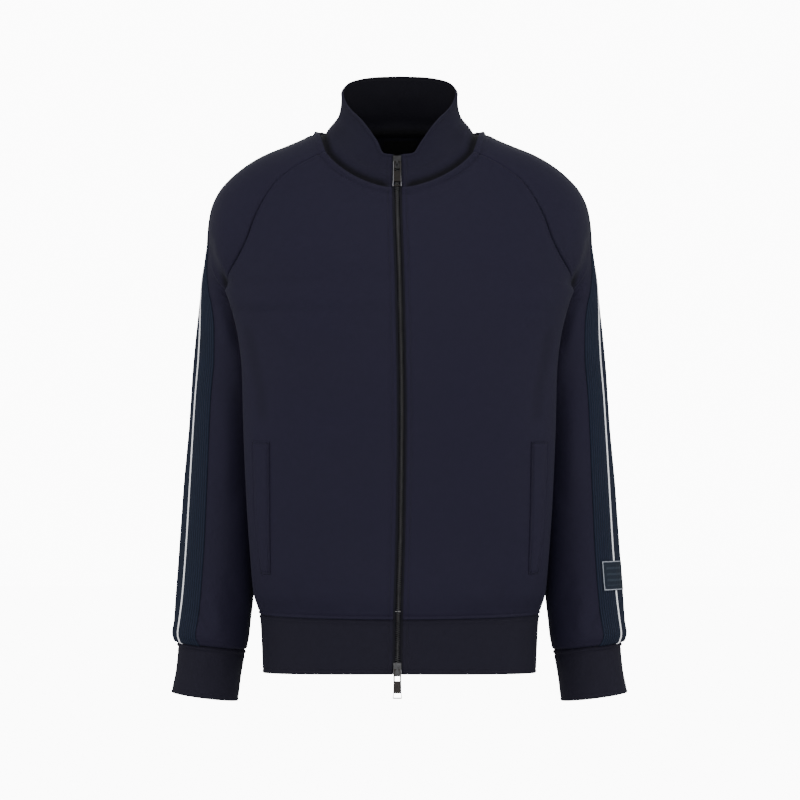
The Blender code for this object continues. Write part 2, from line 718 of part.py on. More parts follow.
def make_band(sheet, side_name):
    """The ribbed band and the piping down its middle. Both start clear of the collar and end at the cuff."""
    rows = [BAND_TOP_ROW, *range(1, sheet.rows - 1), sheet.rows - 1 - BAND_END_GAP]
    plain = np.arange(BACK_OF_BAND, BACK_OF_BAND + ACROSS_BAND + 1)
    fine = np.linspace(plain[0], plain[-1], 2 * BAND_RIBS + 1)
    heights = []
    for k in range(len(fine)):
        raised = k % 2 == 1 and abs(k - BAND_RIBS) > 1
        heights.append(BAND_LIFT + BAND_CLOTH + (RIB_HEIGHT if raised else 0))
    inner = lifted(sheet, rows, plain, [BAND_LIFT] * len(plain))
    ribbed_slab("sleeve_band_" + side_name, lifted(sheet, rows, fine, heights), inner, "band")
    half = PIPING_WIDTH / 2 / COLUMN_WIDTH
    columns = [BAND_MIDDLE_COLUMN - half, BAND_MIDDLE_COLUMN, BAND_MIDDLE_COLUMN + half]
    edge = PIPING_LIFT + PIPING_HEIGHT * PIPING_SHOULDER
    outer = lifted(sheet, rows, columns, [edge, PIPING_LIFT + PIPING_HEIGHT, edge])
    ribbed_slab("piping_" + side_name, outer, lifted(sheet, rows, columns, [PIPING_LIFT] * 3), "piping")


def make_patch(sheet):
    """The woven patch across the band and the piping, above the left cuff."""
    levels = sheet.grid[:, BAND_MIDDLE_COLUMN, 2]
    ends = [np.interp(-z, -levels, np.arange(sheet.rows)) for z in PATCH_LEVELS]
    rows = [ends[0], *range(math.ceil(ends[0]), math.ceil(ends[1])), ends[1]]
    half = PATCH_HALF_WIDTH / COLUMN_WIDTH
    middle = BAND_MIDDLE_COLUMN
    columns = [middle - half, middle - 1, middle, middle + 1, middle + half]
    laid_on("sleeve_patch", sheet, rows, columns, PATCH_LIFT, PATCH_CLOTH, "patch")


def make_pocket_welt(sheet, side_name, flip):
    """The welt that closes a pocket, sewn down at both ends, with the opening along its outer edge."""
    levels = list(SIDE_SEAM_LEVELS)
    rows = list(range(levels.index(POCKET_BOTTOM_Z), levels.index(POCKET_TOP_Z) + 1))
    columns = list(range(TO_POCKET, TO_POCKET + ACROSS_POCKET + 1))
    if flip:
        columns = [sheet.columns - 1 - column for column in reversed(columns)]
    laid_on("pocket_welt_" + side_name, sheet, rows, columns, LIFT, JERSEY, "jersey")


def zip_line(hem, front, collar, at_minus):
    """The zip's edge of the garment from the hem up to the rim: (point, normal, far point, far normal)."""
    line = []
    for sheet in (hem, front, collar):
        for i in range(sheet.rows):
            row, normals = sheet.grid[i], sheet.normals[i]
            if at_minus:
                row, normals = row[::-1], normals[::-1]
            facing = unit(normals[0] * (0, 1, 1))
            if not line or np.linalg.norm(row[0] - line[-1][0]) > 1:
                far = [read_line(values, lengths(row), TAPE_OUTER - ZIP_EDGE) for values in (row, normals)]
                line.append((row[0], facing, far[0], unit(far[1])))
    return line


def strip(name, columns, thickness, finish):
    """A closed strip over two or more lines of (point, normal), thickened inwards."""
    grid = np.array([[place[0] for place in row] for row in zip(*columns)])
    normals = np.array([[place[1] for place in row] for row in zip(*columns)])
    sheet = Sheet(name, grid, thickness, finish, ())
    inner = grid - normals * thickness
    thicken(name, grid.reshape(-1, 3), inner.reshape(-1, 3), list(sheet.quads()), finish)


def make_zip_tape(line, side_name, side):
    """The tape behind the edge of a front, the collar and the hem band."""
    across = np.array([side * (ZIP_EDGE - TAPE_INNER), 0, 0])
    near = [(point - across - normal * TAPE_DEPTH, normal) for point, normal, _, _ in line]
    edge = [(point - normal * TAPE_DEPTH, normal) for point, normal, _, _ in line]
    far = [(point - normal * TAPE_DEPTH, normal) for _, _, point, normal in line]
    columns = (near, edge, far) if side > 0 else (far, edge, near)
    strip("zip_tape_" + side_name, columns, TAPE_CLOTH, "tape")


class ZipPath:
    """The middle of the closed zip on the garment's outer surface, read by height."""

    def __init__(self, line_plus, line_minus):
        self.points = np.array([(a[0] + b[0]) / 2 for a, b in zip(line_plus, line_minus)])
        self.normals = np.array([unit(a[1] + b[1]) for a, b in zip(line_plus, line_minus)])

    def at(self, z):
        """The point and the outward normal at a height."""
        levels = self.points[:, 2]
        point = read_line(self.points, levels, z)
        normal = read_line(self.normals, levels, z)
        return point, unit(normal)


def make_zip_chain(path):
    """The closed row of teeth, one long block that runs from slider to slider."""
    levels = [z for z in path.points[:, 2] if CHAIN_BOTTOM_Z + 4 < z < CHAIN_TOP_Z - 4]
    left, right = [], []
    across = np.array([CHAIN_HALF_WIDTH, 0, 0])
    for z in [CHAIN_BOTTOM_Z, *levels, CHAIN_TOP_Z]:
        point, normal = path.at(z)
        front = point - normal * (TAPE_DEPTH - CHAIN_PROUD)
        left.append((front - across, normal))
        right.append((front + across, normal))
    strip("zip_chain", (left, right), CHAIN_DEPTH, "metal")


def block(tools, low, high, place):
    """A box between two corners, given in the slider's own directions."""
    made = []
    for x in (low[0], high[0]):
        for out in (low[1], high[1]):
            made += [tools.verts.new(place((x, out, up))) for up in (low[2], high[2])]
    for face in ((0, 1, 3, 2), (4, 6, 7, 5), (0, 4, 5, 1), (2, 3, 7, 6), (0, 2, 6, 4), (1, 5, 7, 3)):
        tools.faces.new([made[k] for k in face])


def slider_place(path, z):
    """Turns (across, out, along) in the slider's own directions into a place in the garment."""
    point, normal = path.at(z)
    along = np.cross((1, 0, 0), normal)
    along = along if along[2] > 0 else -along

    def place(local):
        x, out, up = local
        return (point + np.array([x, 0, 0]) + normal * out + along * up) * MM

    return place


def make_slider(path, name, z, wedge_side):
    """The slider round the closed chain: two plates joined by a wedge, and the arch that holds the pull."""
    place = slider_place(path, z)
    front_face = -(TAPE_DEPTH - CHAIN_PROUD)
    front_low = front_face + CHAIN_PLAY
    back_high = front_face - CHAIN_DEPTH - CHAIN_PLAY
    wide, long = SLIDER_HALF_WIDTH, SLIDER_HALF_LENGTH
    wedge = sorted((wedge_side * (long - WEDGE_LENGTH), wedge_side * (long - WEDGE_SETBACK)))
    wedge_low, wedge_high = back_high - PLATE / 2, front_low + PLATE / 2
    arch, arch_wide = ARCH_HALF_LENGTH, ARCH_HALF_WIDTH
    front_plate = ((-wide, front_low, -long), (wide, front_low + PLATE, long))
    back_plate = ((-wide, back_high - PLATE, -long), (wide, back_high, long))
    wedge_box = ((-WEDGE_HALF_WIDTH, wedge_low, wedge[0]), (WEDGE_HALF_WIDTH, wedge_high, wedge[1]))
    upper_leg = ((-arch_wide, wedge_high, arch - ARCH_LEG), (arch_wide, ARCH_TOP, arch))
    lower_leg = ((-arch_wide, wedge_high, -arch), (arch_wide, ARCH_TOP, ARCH_LEG - arch))
    bar_end = arch - ARCH_LEG / 2
    bar = ((-arch_wide, ARCH_TOP - ARCH_BAR, -bar_end), (arch_wide, ARCH_TOP + 0.1, bar_end))
    boxes = (front_plate, back_plate, wedge_box, upper_leg, lower_leg, bar)
    pieces = []
    for k, (low, high) in enumerate(boxes):
        tools = bmesh.new()
        block(tools, low, high, place)
        bmesh.ops.recalc_face_normals(tools, faces=tools.faces)
        pieces.append(add_object(f"zip_slider_{name}" + (f"_cutter_{k}" if k else ""), tools, "metal"))
    for piece in pieces[1:]:
        piece.hide_render = True
        piece.display_type = "WIRE"
        joined = pieces[0].modifiers.new("join", "BOOLEAN")
        joined.operation = "UNION"
        joined.object = piece


def pull_tilt(path, place, z):
    """How far the pull leans out from its slider's plane to rest just clear of the cloth below it."""
    pivot = np.array(place((0, PIVOT_HEIGHT, 0))) / MM
    out = np.array(place((0, PIVOT_HEIGHT + 1, 0))) / MM - pivot
    down = np.array(place((0, PIVOT_HEIGHT, -1))) / MM - pivot
    lean = 0.0
    for distance in np.arange(6, PULL_LENGTH, 2):
        level = z - distance
        if level < path.points[0, 2]:
            break
        point, normal = path.at(level)
        above = point + normal * (PULL_HALF_THICKNESS + PULL_CLEARANCE) - pivot
        lean = max(lean, math.atan2(above @ out, above @ down))
    return lean


def make_pull(path, name, z):
    """The pull tab: a flat frame on the slider's arch, with an eye at its top and an open end."""
    place = slider_place(path, z)
    tilt = pull_tilt(path, place, z)
    outer, inner = [], []
    for values in PULL:
        row = dict(zip(PULL_COLUMNS, values))
        t, half, hole = row["along"], row["half_width"], row["half_hole"]
        for x in (-half, -hole, hole, half):
            for points, out in ((outer, PULL_HALF_THICKNESS), (inner, -PULL_HALF_THICKNESS)):
                turned_out = out * math.cos(tilt) - t * math.sin(tilt)
                turned_up = out * math.sin(tilt) + t * math.cos(tilt)
                points.append(np.array(place((x, PIVOT_HEIGHT + turned_out, turned_up))) / MM)
    quads = []
    for i in range(len(PULL) - 1):
        for j in range(3):
            if j == 1 and PULL[i][PULL_COLUMNS.index("open")]:
                continue
            a = i * 4 + j
            quads.append((a + 4, a + 5, a + 1, a))
    thicken("zip_pull_" + name, outer, inner, quads, "metal")


def make_neck_label(back):
    """The plain woven label inside the back of the neck, just under the seam."""
    middle = back.columns // 2
    rows = np.interp(LABEL_Z, back.grid[:, middle, 2], np.arange(back.rows))
    outer, inner = [], []
    for row in rows:
        line = [read_sheet(back, row, column)[0][0] for column in range(back.columns)]
        columns = np.interp([-x for x in LABEL_X], [-x for x in line], range(back.columns))
        places = [read_sheet(back, row, column) for column in columns]
        outer.append([point - normal * (JERSEY + LIFT) for point, normal in places])
        inner.append([point - normal * (JERSEY + LIFT + LABEL_CLOTH) for point, normal in places])
    ribbed_slab("neck_label", np.array(outer), np.array(inner), "label")


def main():
    for thing in list(bpy.data.objects):
        bpy.data.objects.remove(thing)
    round_edges = ("first_row", "last_row")
    sleeve_edges = (*round_edges, "first_column", "last_column")
    sleeve, cuff = sleeve_grid(), cuff_grid()
    left = Sheet("front_left", front_grid(1), JERSEY, "jersey", (*round_edges, "last_column"))
    right = Sheet("front_right", mirrored(front_grid(-1)), JERSEY, "jersey", (*round_edges, "first_column"))
    back = Sheet("back", back_grid(), JERSEY, "jersey", sleeve_edges)
    sleeves = [
        Sheet("sleeve_left", sleeve, JERSEY, "jersey", sleeve_edges, CLOSED_FROM),
        Sheet("sleeve_right", mirrored(sleeve), JERSEY, "jersey", sleeve_edges, CLOSED_FROM),
    ]
    cuffs = [
        Sheet("cuff_left", cuff, RIB_KNIT, "rib", ("first_row",), 0),
        Sheet("cuff_right", mirrored(cuff), RIB_KNIT, "rib", ("first_row",), 0),
    ]
    collar = Sheet("collar", whole(half_collar(1), half_collar(-1)), COLLAR_CLOTH, "jersey", ("first_row",))
    hem = Sheet("hem_band", whole(half_hem(1), half_hem(-1)), RIB_KNIT, "rib", ("last_row",))
    sheets = [left, right, back, *sleeves, *cuffs, collar, hem]
    share_normals(sheets)
    for sheet in sheets:
        make_wall(sheet)
    for sheet, side_name in zip(sleeves, ("left", "right")):
        make_band(sheet, side_name)
    make_patch(sleeves[0])
    make_pocket_welt(left, "left", False)
    make_pocket_welt(right, "right", True)
    line_minus = zip_line(hem, right, collar, True)
    line_plus = zip_line(hem, left, collar, False)
    make_zip_tape(line_plus, "left", 1)
    make_zip_tape(line_minus, "right", -1)
    path = ZipPath(line_plus, line_minus)
    make_zip_chain(path)
    for name, z, wedge_side in (("top", TOP_SLIDER_Z, 1), ("bottom", BOTTOM_SLIDER_Z, -1)):
        make_slider(path, name, z, wedge_side)
        make_pull(path, name, z)
    make_neck_label(back)


main()
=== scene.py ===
"""Looks for the zipped stand-collar sweatshirt: cloth shells, trim, zip, studio light and camera.

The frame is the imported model, in metres: +Z up, the front faces -Y, the wearer's left is at +X. The
forms below are worked out in millimetres from the garment's own sizes, as its solids are, with finer
rows, creases, seams and stitches. Each cloth shell replaces the solid of the same piece.
"""

import json
import logging
import math
from collections.abc import Callable
from dataclasses import dataclass
from enum import Enum
from functools import cached_property

import bmesh
import bpy
import numpy as np
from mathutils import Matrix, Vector

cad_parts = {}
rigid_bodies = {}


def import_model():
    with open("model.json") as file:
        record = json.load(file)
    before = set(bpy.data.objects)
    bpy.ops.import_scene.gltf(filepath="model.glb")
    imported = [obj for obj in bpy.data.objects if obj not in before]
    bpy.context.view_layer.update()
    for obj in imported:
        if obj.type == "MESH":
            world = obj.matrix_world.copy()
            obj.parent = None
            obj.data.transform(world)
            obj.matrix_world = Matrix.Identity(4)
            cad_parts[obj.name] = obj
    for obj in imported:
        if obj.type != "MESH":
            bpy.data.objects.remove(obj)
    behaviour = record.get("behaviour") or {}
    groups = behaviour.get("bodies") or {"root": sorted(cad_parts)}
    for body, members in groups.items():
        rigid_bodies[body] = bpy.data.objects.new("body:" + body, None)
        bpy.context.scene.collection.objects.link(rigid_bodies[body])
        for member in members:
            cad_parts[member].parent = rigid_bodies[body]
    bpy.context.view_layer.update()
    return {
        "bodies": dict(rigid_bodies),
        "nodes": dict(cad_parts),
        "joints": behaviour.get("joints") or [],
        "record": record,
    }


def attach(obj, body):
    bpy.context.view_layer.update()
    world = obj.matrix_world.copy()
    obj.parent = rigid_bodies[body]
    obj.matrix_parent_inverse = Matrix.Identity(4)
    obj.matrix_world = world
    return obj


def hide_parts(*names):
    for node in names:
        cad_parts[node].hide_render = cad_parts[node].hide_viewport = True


log = logging.getLogger("sweatshirt")

MM = 0.001
BODY = "garment"
Numbers = float | np.ndarray

# How far the first lines of a grid lie from a sewn edge, in millimetres.
BESIDE_SEAM = (0.0, 0.7, 1.5, 2.4, 3.4, 4.6, 6.0, 7.4, 9.0, 11.0)


# ---- Profiles and forms ----


def smooth(stations: np.ndarray, values: np.ndarray, at: Numbers) -> np.ndarray:
    """Read a cubic that goes through its stations without overshooting them.

    Args:
        stations: where the values are known, rising.
        values: the known values.
        at: where to read, a number or an array.

    Returns:
        The values there, held level beyond both ends.
    """
    at = np.clip(at, stations[0], stations[-1])
    step = np.diff(stations)
    slope = np.diff(values) / step
    bend = np.zeros(len(stations))
    bend[0], bend[-1] = slope[0], slope[-1]
    rising = slope[:-1] * slope[1:] > 0
    before, after = slope[:-1][rising], slope[1:][rising]
    first = (2 * step[1:] + step[:-1])[rising]
    second = (step[1:] + 2 * step[:-1])[rising]
    bend[1:-1][rising] = (first + second) / (first / before + second / after)
    i = np.clip(np.searchsorted(stations, at) - 1, 0, len(step) - 1)
    t = (at - stations[i]) / step[i]
    ends = values[i] * (1 + 2 * t) * (1 - t) ** 2 + values[i + 1] * t * t * (3 - 2 * t)
    return ends + step[i] * t * (1 - t) * (bend[i] * (1 - t) - bend[i + 1] * t)


class Profile:
    """A short table with named columns, read as smooth curves against its first column."""

    def __init__(self, columns: tuple, rows: tuple | list) -> None:
        """Keep the table sorted by its first column.

        Args:
            columns: the names of the columns.
            rows: the rows, in any order.
        """
        self.columns = columns
        self.rows = np.array(sorted(rows), float)

    def __call__(self, name: str, at: Numbers) -> np.ndarray:
        """Read one column.

        Args:
            name: the column's name.
            at: where to read along the first column.

        Returns:
            The value or values there.
        """
        return smooth(self.rows[:, 0], self.rows[:, self.columns.index(name)], at)


def lengths(points: np.ndarray, axis: int = 0) -> np.ndarray:
    """Measure how far each point lies from the first, along a line or along one axis of a grid.

    Args:
        points: the points, with their coordinates on the last axis.
        axis: the axis along which the distances add up.

    Returns:
        The distances, in the shape of the points without their coordinates.
    """
    sums = np.cumsum(np.linalg.norm(np.diff(points, axis=axis), axis=-1), axis=axis)
    return np.concatenate([np.zeros_like(sums.take([0], axis=axis)), sums], axis=axis)


def read_line(line: np.ndarray, distances: np.ndarray, at: Numbers) -> np.ndarray:
    """Read the points of a line at some distances along it."""
    return np.stack([np.interp(at, distances, line[:, k]) for k in range(line.shape[1])], axis=-1)


def unit(vectors: np.ndarray) -> np.ndarray:
    """Scale vectors to a length of one."""
    return vectors / np.maximum(np.linalg.norm(vectors, axis=-1, keepdims=True), 1e-9)


def graded(size: float, spacing: float, start: bool, end: bool) -> np.ndarray:
    """Spread lines over a width, closer beside its sewn edges.

    Args:
        size: the width in millimetres.
        spacing: the widest step between lines.
        start: whether the first edge is sewn.
        end: whether the last edge is sewn.

    Returns:
        Rising shares of the width from 0 to 1.
    """
    near = np.array(BESIDE_SEAM)
    first = near if start else near[:1]
    last = near if end else near[:1]
    inner = size - first[-1] - last[-1]
    count = max(2, round(inner / spacing))
    middle = np.linspace(first[-1], size - last[-1], count + 1)[1:-1]
    return np.concatenate([first, middle, size - last[::-1]]) / size


# The torso's level sections for the half at +X, as in the solids.
TORSO = Profile(
    ("z", "front", "width", "width_y", "side", "side_y", "back_width", "back_width_y", "back"),
    (
        (0, 46, 178, 0, 170, 2, 108, 5, 75),
        (-28, 68, 189, -3, 170, 3, 138, 15, 92),
        (-40, 77, 193, -5, 170, 4, 150, 22, 98),
        (-75, 95, 203, -11, 170, 6, 170, 38, 110),
        (-115, 112, 212, -20, 170, 8, 182, 50, 119),
        (-160, 126, 219, -30, 170, 10, 187, 60, 124),
        (-198, 133, 221, -38, 170, 12, 186, 70, 126),
        (-232, 137, 212, -48, 168, 12, 174, 78, 126),
        (-262, 138, 205, -52, 155, 14, 171, 84, 124),
        (-306, 138, 200, -54, 153, 16, 169, 88, 121),
        (-380, 134, 198, -54, 157, 18, 168, 88, 116),
        (-471, 129, 194, -54, 163, 16, 170, 84, 113),
        (-548, 125, 189, -48, 170, 10, 174, 66, 113),
        (-590, 124, 185.6, -30, 177.4, 4, 179.4, 36, 114),
        (-616, 119, 178.8, -8, 178.8, 0, 178.8, 8, 110),
        (-622, 117, 178, -8, 178, 0, 178, 8, 109),
        (-660, 116, 175.8, -8, 175.8, 0, 175.8, 8, 108),
        (-694, 115, 174.5, -8, 174.5, 0, 174.5, 8, 107),
    ),
)
FRONT_SQUARENESS = 2.3
BACK_SQUARENESS = 2.2
FOLD_QUICKNESS = 1.35

HEM_SEAM_SIDE_Z = -616.3
HEM_SEAM_MIDDLE_Z = -619.5
UNDERARM_X = 168.0
UNDERARM_Y = 12.0
UNDERARM_Z = -232.0
NECK_FRONT_Z = -74.8
NECK_CURVE = 1.6
ZIP_EDGE = 6.0
ZIP_BOW = Profile(
    ("z", "x"),
    ((-10, -3.0), (-75, -3.0), (-200, 0.5), (-360, 3.0), (-500, 1.5), (-620, -1.8), (-694, -2.8)),
)


class TorsoForm:
    """The torso's outer surface, read by level and by the share of the way round to the side seam."""

    ARC_STEPS = 160
    FOLD_STEPS = 80
    LEVEL_STEP = 2.0
    LEVELS = np.arange(-700.0, 1.0, LEVEL_STEP)
    SHARES = np.linspace(0, 1, 421)
    # Taken off the number of rows or columns, it leaves a whole cell above the last number.
    LAST_CELL = 1.001

    def __init__(self) -> None:
        """Work out all the level sections once."""
        self.tables = {back: self._table(back) for back in (False, True)}

    def section(self, z: float, back: bool) -> np.ndarray:
        """Work out one level's line, from the middle round to the side seam.

        Args:
            z: the level in millimetres.
            back: whether it is the back's half.

        Returns:
            The line's points as (x, y).
        """
        squareness = BACK_SQUARENESS if back else FRONT_SQUARENESS
        prefix = "back_" if back else ""
        width, width_y = TORSO(prefix + "width", z), TORSO(prefix + "width_y", z)
        middle = TORSO("back", z) if back else -TORSO("front", z)
        turn = np.linspace(0, math.pi / 2, self.ARC_STEPS)
        x = width * np.sin(turn) ** (2 / squareness)
        y = width_y + (middle - width_y) * np.cos(turn) ** (2 / squareness)
        t = np.linspace(0, 1, self.FOLD_STEPS)[1:]
        soon = np.minimum(t * FOLD_QUICKNESS, 1)
        ease = soon**3 * (10 - 15 * soon + 6 * soon * soon)
        fold_x = width + (TORSO("side", z) - width) * ease
        fold_y = width_y + (TORSO("side_y", z) - width_y) * t
        return np.stack([np.append(x, fold_x), np.append(y, fold_y)], axis=-1)

    def _table(self, back: bool) -> np.ndarray:
        """Sample the sections at even shares, level by level.

        Args:
            back: whether they are the back's.

        Returns:
            The points as (x, y), by level and share.
        """
        rows = []
        for z in self.LEVELS:
            line = self.section(z, back)
            distances = lengths(line)
            rows.append(read_line(line, distances, self.SHARES * distances[-1]))
        return np.array(rows)

    def points(self, z: Numbers, share: Numbers, back: bool = False) -> np.ndarray:
        """Read points of the surface.

        Args:
            z: levels in millimetres, any shape.
            share: how far round each point lies, of the same shape.
            back: whether the points are on the back.

        Returns:
            The points, with one more axis of three.
        """
        z, share = np.broadcast_arrays(np.asarray(z, float), np.asarray(share, float))
        row = np.clip((z - self.LEVELS[0]) / self.LEVEL_STEP, 0, len(self.LEVELS) - self.LAST_CELL)
        column = np.clip(share * (len(self.SHARES) - 1), 0, len(self.SHARES) - self.LAST_CELL)
        i, j = row.astype(int), column.astype(int)
        v, u = (row - i)[..., None], (column - j)[..., None]
        table = self.tables[back]
        low = table[i, j] * (1 - u) + table[i, j + 1] * u
        high = table[i + 1, j] * (1 - u) + table[i + 1, j + 1] * u
        return np.concatenate([low * (1 - v) + high * v, z[..., None]], axis=-1)

    def share_at_x(self, z: float, x: float, back: bool = False, tucked: bool = False) -> float:
        """Find how far round the surface lies at x.

        Args:
            z: the level in millimetres.
            x: the distance from the middle plane.
            back: whether to look on the back's half.
            tucked: whether to look on the fold behind the arc, not on the arc.

        Returns:
            The share of the way round to the side seam.
        """
        line = self.section(z, back)
        distances = lengths(line) / lengths(line)[-1]
        if tucked:
            return self._on_fold(line[:, 0], distances, x)
        return float(np.interp(x, line[: self.ARC_STEPS, 0], distances[: self.ARC_STEPS]))

    def share_on_fold(self, z: float, y: float) -> float:
        """Find how far round from the middle back the side's fold reaches y."""
        line = self.section(z, True)
        return self._on_fold(line[:, 1], lengths(line) / lengths(line)[-1], y)

    def _on_fold(self, values: np.ndarray, distances: np.ndarray, value: float) -> float:
        """Find where the fold, on which a coordinate only falls, reaches a value."""
        return float(np.interp(-value, -values[self.ARC_STEPS - 1 :], distances[self.ARC_STEPS - 1 :]))


# The open top of the sleeve, from the neck seam to the underarm, then its closed stretch, as in the
# solids. fold_y 0 and depth 0 mean that the seam's x and its distance from the crown are used.
RAGLAN_COLUMNS = (
    "crown_x", "crown_y", "crown_z", "front_x", "front_z", "tucked", "front_turn", "front_depth",
    "back_x", "fold_y", "back_z", "back_turn", "back_depth",
)
RAGLAN = (
    (103.0, 5, 0, 93.5, -28.0, 0, 50, 0, 62, 0, 0, 60, 0),
    (123.5, 6, -10.2, 112.3, -36.2, 0, 55, 0, 79, 0, -13, 60, 0),
    (146.0, 7, -19.5, 136.7, -50.3, 0, 60, 0, 97, 0, -30, 62, 0),
    (171.0, 8, -29.4, 155.5, -65.3, 0, 65, 0, 114, 0, -50, 64, 0),
    (195.0, 9, -43.0, 170.5, -86.0, 0, 70, 0, 130, 0, -72, 68, 0),
    (216.0, 10, -60.0, 183.7, -112.4, 0, 76, 0, 146, 0, -97, 74, 0),
    (231.0, 11, -77.5, 193.0, -138.6, 0, 83, 0, 158, 0, -123, 82, 0),
    (240.6, 11, -99.8, 203.5, -160.0, 0, 90, 0, 167, 0, -148, 92, 0),
    (244.4, 12, -124.2, 218.0, -188.0, 0, 98, 0, 174, 0, -171, 100, 0),
    (245.4, 18, -140.0, 217.0, -202.0, 1, 90, 0, 178, 0, -192, 110, 62),
    (249.0, 24, -168.0, 203.5, -213.0, 1, 106, 43, 0, 66, -210, 135, 62),
    (252.5, 27, -196.0, 187.0, -223.0, 1, 130, 46, 0, 38, -222, 164, 60),
)
TUBE_COLUMNS = ("crown_x", "crown_z", "inner_x", "inner_z", "y", "front_depth", "back_depth")
TUBE = (
    (255.4, -219, UNDERARM_X, UNDERARM_Z, 30, 49, 60),
    (258.8, -250, 163.5, -257, 31, 55, 60),
    (262.7, -288, 165.0, -291, 32, 57, 61),
    (267.0, -335, 169.0, -336, 33, 58, 60),
    (271.0, -385, 172.5, -385, 33, 58, 59),
    (275.0, -435, 176.5, -435, 32, 57, 58),
    (278.5, -485, 180.0, -485, 30, 56, 56),
    (281.5, -530, 183.0, -530, 26, 54, 54),
    (283.9, -566, 185.5, -566, 22, 53, 53),
    (286.1, -596, 187.5, -597, 18, 52, 52),
    (288.6, -622, 190.7, -626, 15, 51, 51),
    (289.9, -641, 193.0, -648, 12, 50, 50),
    (285.2, -653, 197.0, -663, 11, 44, 44),
)
CUFF = (
    (285.2, -653, 197.0, -663, 11, 44, 44),
    (284.2, -663, 198.5, -671, 10, 42.5, 42.5),
    (286.5, -688, 203.0, -697, 7, 42, 42),
    (292.2, -717.0, 206.7, -728, 3, 42.5, 42.5),
)
UNDERARM_ROW = len(RAGLAN)
SLEEVE_ROWS = len(RAGLAN) + len(TUBE) - 1

BAND_HALF_WIDTH = 29.0
BAND_MIDDLE = Profile(
    ("crown_z", "round"),
    (
        (0, -30), (-29, -33), (-60, -33), (-100, -31), (-124, -29), (-142, -22), (-165, -9), (-189, 2),
        (-219, 15), (-250, 25), (-291, 31), (-349, 32.5), (-407, 34.5), (-445, 35.5), (-484, 36),
        (-560, 35), (-612, 33), (-641, 30), (-653, 28),
    ),
)


@dataclass
class HalfRow:
    """One half of a row of the sleeve, from its crown to its front or back end."""

    crown: np.ndarray
    end: np.ndarray
    turn: float
    depth: float
    forward: bool
    tucked: float = 0.0

    STEPS = 120

    @cached_property
    def points(self) -> np.ndarray:
        """The half row's points.

        Returns:
            The points in millimetres, from the crown to the end.
        """
        turn = math.radians(self.turn)
        side = -1 if self.forward else 1
        angle = np.linspace(0, turn, self.STEPS)
        across = ((1 - np.cos(angle)) / (1 - math.cos(turn)))[:, None]
        points = self.crown + (self.end - self.crown) * across
        fall = 1 - (1 - across[:, 0]) ** (1 + self.tucked)
        points[:, 2] = self.crown[2] + (self.end[2] - self.crown[2]) * fall
        missing = self.end[1] - (self.crown[1] + side * self.depth * math.sin(turn))
        points[:, 1] = self.crown[1] + side * self.depth * np.sin(angle) + missing * (angle / turn) ** 2
        return points


